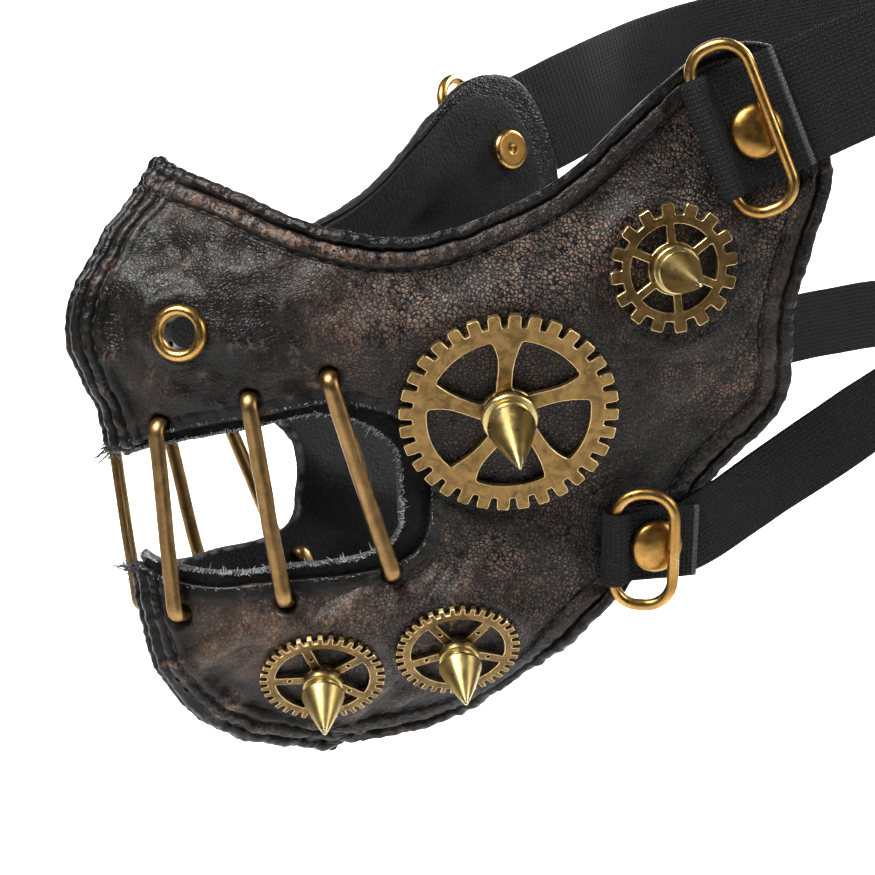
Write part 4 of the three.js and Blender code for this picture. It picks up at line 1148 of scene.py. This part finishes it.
def band(name):
    """The elastic: its folded end, its loop round the head and the other folded end, as one closed mesh."""
    strap = STRAPS[name]
    m = strap_frame(name)
    pad_across, pad_out = m[:3, 1], m[:3, 2]
    fold = [(CUT_END - FOLD_LEAD, TOP_LAYER), (3.3 - FOLD_LEAD, TOP_LAYER)]
    for a in np.radians(np.linspace(40, 270, 15)):
        fold.append((FOLD_RADIUS * math.cos(a) - FOLD_LEAD, FOLD_HEIGHT + FOLD_RADIUS * math.sin(a)))
    fold += [(-3, LOW_LAYER), (strap["lead"] - 4, LOW_LAYER), (strap["lead"], LOW_LAYER)]
    fold = softened(fold, 1.6, 4)
    near = apply(m, np.array([(a, strap["aside"], h) for a, h in fold]))
    before, leave = apply(m, [(strap["lead"] - back, strap["aside"], LOW_LAYER) for back in (4, 0)])
    half = np.array([before, leave, *np.array(strap["route"], float)])
    loop = np.vstack([half, half[-2::-1] * [-1, 1, 1]])
    total = len(loop) - 1
    t = (1 + (total / 2 - 1) * np.linspace(0, 1, LOOP_STEPS)) / total
    line = np.vstack([near, catmull(loop, t)[1:]])
    reach = lengths(line)
    near_reach = reach[len(near) - 1]
    count = int(reach[-1] / (strap["ribs"] / 5))
    at = np.linspace(0, reach[-1], count)
    place = places(at, reach, line)
    ahead = unit(np.gradient(place, axis=0))
    ahead[-1] = [-1, 0, 0]
    level = unit(np.cross(ahead, [0, 0, 1]))
    loop_share = clamp((at - near_reach) / (reach[-1] - near_reach))
    share = smooth(loop_share * 2)[:, None]
    pad = -np.cross(np.repeat(pad_across[None], count, 0), ahead)
    out = np.where(at[:, None] <= near_reach, pad, pad_out * (1 - share) + level * share)
    out = unit(out - ahead * (out * ahead).sum(-1, keepdims=True))
    across = np.where(at[:, None] <= near_reach, pad_across, unit(np.cross(out, ahead)))
    across = np.where((across @ pad_across)[:, None] < 0, -across, across)
    flip = np.array([-1, 1, 1])
    place = np.vstack([place, place[-2::-1] * flip])
    out, across = np.vstack([out, out[-2::-1] * flip]), np.vstack([across, across[-2::-1] * flip])
    whole = np.concatenate([at, 2 * at[-1] - at[-2::-1]])
    # section: rounded selvedges, then ribs across and cord lines along
    half_wide = strap["width"] / 2
    k = np.linspace(-1, 1, BAND_COLUMNS)
    x_top = half_wide * np.sign(k) * (1 - (1 - np.abs(k)) ** 1.15)
    edge_round = np.sqrt(np.clip(1 - clamp((np.abs(x_top) - half_wide + 0.6) / 0.6) ** 2, 0.0, 1))
    x = np.concatenate([x_top, x_top[::-1]])
    face = np.concatenate([np.ones(BAND_COLUMNS), -np.ones(BAND_COLUMNS)])
    thick = np.concatenate([edge_round, edge_round])
    from_end = np.minimum(whole, whole[-1] - whole)
    ribs = np.cos(2 * math.pi * whole / strap["ribs"])[:, None]
    cords = np.cos(2 * math.pi * x / 1.9)[None, :]
    gathered = 1 + 0.9 * smooth((near_reach - from_end) / 4)[:, None]
    fill = (STRAP / 2 - 0.12) * thick + strap["rib_height"] * gathered * (0.5 * ribs + 0.12 * cords * ribs) * thick
    sway = noise1(whole, 9, 50 + len(name))[:, None] * 0.12
    curl = 0.12 * noise(np.stack(np.broadcast_arrays(whole[:, None] / 14, x[None, :] / 9, 0 * fill + 3), -1), 1)
    points = place[:, None, :] + across[:, None, :] * (x[None, :] + sway)[..., None]
    points = points + out[:, None, :] * (face * fill + curl)[..., None]
    rows, columns = points.shape[:2]
    faces = grid_faces(rows, columns, wrap_columns=True).tolist()
    faces += [list(range(columns))[::-1], list(range((rows - 1) * columns, rows * columns))]
    cut = smooth((1.3 - from_end) / 0.7)
    attributes = dict(across=np.tile(x, rows), along=np.repeat(whole, columns), cut=np.repeat(cut, columns))
    return points.reshape(-1, 3), faces, attributes, whole[-1]


def ring_path(long):
    """A rounded rectangle in its own plane, with one long side on the axis that it swings about."""
    straight = (long / 2 - RING_CORNER, RING_WIDE / 2 - RING_CORNER)
    corners = []
    for k in range(4):
        t = np.linspace(k * math.pi / 2, (k + 1) * math.pi / 2, 13)
        mid = (k + 0.5) * math.pi / 2
        cx = math.copysign(straight[1], math.cos(mid)) + RING_WIDE / 2
        cy = math.copysign(straight[0], math.sin(mid))
        corners.append(np.stack([cx + RING_CORNER * np.cos(t), cy + RING_CORNER * np.sin(t), 0 * t], -1))
    path = []
    for k in range(4):
        path += list(corners[k])
        gap = corners[(k + 1) % 4][0] - corners[k][-1]
        path += [corners[k][-1] + gap * t for t in np.linspace(0, 1, 10)[1:-1]]
    return np.array(path)


for name, strap in STRAPS.items():
    points, faces, attributes, length = band(name)
    elastic = make(f"{name}_band", points, faces, ELASTIC_LOOK, "root", [f"{name}_strap"],
                   attributes=attributes)
    m = strap_frame(name)
    # ring of round wire
    path = ring_path(strap["long"])
    ahead = unit(np.roll(path, -1, axis=0) - np.roll(path, 1, axis=0))
    up = np.repeat(np.array([[0.0, 0, 1]]), len(path), 0)
    sway = np.stack([noise1(np.arange(len(path)), 14, 70 + q) for q in range(3)], -1) * [0.06, 0.06, 0.12]
    points, faces = swept(path + sway, np.cross(ahead, up), up, WIRE, WIRE, WIRE_SIDES, closed=True)
    lift_cos, lift_sin = math.cos(RING_LIFT), math.sin(RING_LIFT)
    place = np.eye(4)
    place[:3, :3] = [[lift_cos, 0, -lift_sin], [0, 1, 0], [lift_sin, 0, lift_cos]]
    place[:3, 3] = [-FOLD_LEAD, strap["aside"], FOLD_HEIGHT]
    placed = apply(m, apply(place, points))
    worn = clamp(0.3 + 0.8 * noise(points, 5, 8))
    pair(f"{name}_wire_ring_SIDE", placed, faces, SHINY_LOOK, f"{name}_ring_SIDE", f"{name}_ring_SIDE",
         "shiny_brass", dict(worn=worn))
    # rivet: a domed cap, its post and the button behind
    low = TOP_LAYER + STRAP / 2 + GAP
    dome = [(0.001, BACK_FACE - 1.2), (1.4, BACK_FACE - 1.2), (1.4, low - 0.2), (5.0, low - 0.25), (5.45, low - 0.1),
            (5.6, low + 0.2), (5.55, low + 0.5)]
    for t in np.linspace(0.1, 1, 14):
        angle = math.pi / 2 * t
        dome.append((max(5.5 * math.cos(angle) ** 0.92, 0.001), low + 0.55 + 2.25 * math.sin(angle)))
    points, faces = turned(softened(dome, 0.1, 2), ROUND_SEGMENTS)
    dents = 0.07 * noise(points, 1.9, 16) + 0.12 * noise(points, 4.5, 17)
    points[:, 2] += dents * smooth((points[:, 2] - low) / 0.8)
    worn = clamp(bell(points[:, 2], low + 0.5, 0.35) + 0.6 * noise(points, 2.2, 15))
    pair(f"{name}_rivet_cap_SIDE", apply(m, points), faces, SHINY_LOOK, "root", f"{name}_rivet_SIDE", "shiny_brass",
         dict(worn=worn))
    floor = BACK_FACE - 2.2
    button = [(0.001, floor + 0.5), (0.7, floor + 0.45), (1.1, floor + 0.1), (1.5, floor), (3.6, floor),
              (4.2, floor + 0.2), (4.55, floor + 0.7), (4.6, floor + 1.6), (4.4, BACK_FACE - 0.1), (4.0, BACK_FACE),
              (1.7, BACK_FACE)]
    points, faces = turned(softened(button, 0.2, 3), ROUND_SEGMENTS)
    pair(f"{name}_rivet_button_SIDE", apply(m, points), faces, SHINY_LOOK, "root", f"{name}_rivet_back_SIDE",
         "shiny_brass", dict(worn=bell(np.hypot(points[:, 0], points[:, 1]), 4.5, 0.4)))

# ---- studio
def plain(name, colour, rough):
    m = Shader(name)
    m.set(Base_Color=colour, Roughness=rough)
    return m.material


# a pale floor that curves up into a wall, square to the camera
FLOOR, BEND_AT, BEND, HALF_WIDTH = -290, 1900, 700, 3000
quarter = np.linspace(0, math.pi / 2, 14)
depth = np.concatenate([np.linspace(-500, BEND_AT, 8), BEND_AT + BEND * np.sin(quarter)[1:], [2600, 2600]])
rise = np.concatenate([np.zeros(8), BEND * (1 - np.cos(quarter))[1:], [1500, 2800]]) + FLOOR
flat_back = -np.array([cam_back[0], cam_back[1], 0]) / math.cos(EL)
sweep_points = [flat_back * d + cam_right * x + np.array([0, 0, z])
                for d, z in zip(depth, rise) for x in (-HALF_WIDTH, HALF_WIDTH)]
sweep_mesh = bpy.data.meshes.new("studio_sweep")
sweep_mesh.from_pydata((np.array(sweep_points) * MM).tolist(), [], grid_faces(len(depth), 2).tolist())
sweep_mesh.polygons.foreach_set("use_smooth", [True] * len(sweep_mesh.polygons))
sweep_mesh.materials.append(plain("studio_white", (0.93, 0.93, 0.93), 0.9))
sweep = added("studio_sweep", sweep_mesh)


def softbox(name, right, up, back, size, power, aim=(0, 0, 0)):
    """A square light placed, in millimetres, from the camera's target, and turned to face the aim."""
    light = bpy.data.lights.new(name, "AREA")
    light.shape, light.size, light.size_y, light.energy = "RECTANGLE", size, size, power
    at, goal = (Vector((cam_target + cam_right * x + cam_up * y + cam_back * z) * MM)
                for x, y, z in ((right, up, back), aim))
    added(name, light).matrix_world = (
        Matrix.Translation(at) @ (goal - at).to_track_quat("-Z", "Y").to_matrix().to_4x4())


softbox("key", -330, 620, 420, 0.42, 11)
softbox("fill", 700, 260, 380, 0.4, 2.2)
softbox("rear", 520, 480, -300, 0.4, 8.5)
softbox("low", -300, -420, 500, 0.4, 0.9)
for side in (-1, 1):
    softbox(f"wall_{'left' if side < 0 else 'right'}", side * 1100, 800, -1300, 0.9, 60, (side * 250, -50, -2500))
world = bpy.data.worlds.new("studio")
bpy.context.scene.world = world
world.use_nodes = True
world.node_tree.nodes["Background"].inputs["Color"].default_value = (0.95, 0.97, 1, 1)
world.node_tree.nodes["Background"].inputs["Strength"].default_value = 0.05
bpy.context.scene.view_settings.view_transform = "Standard"
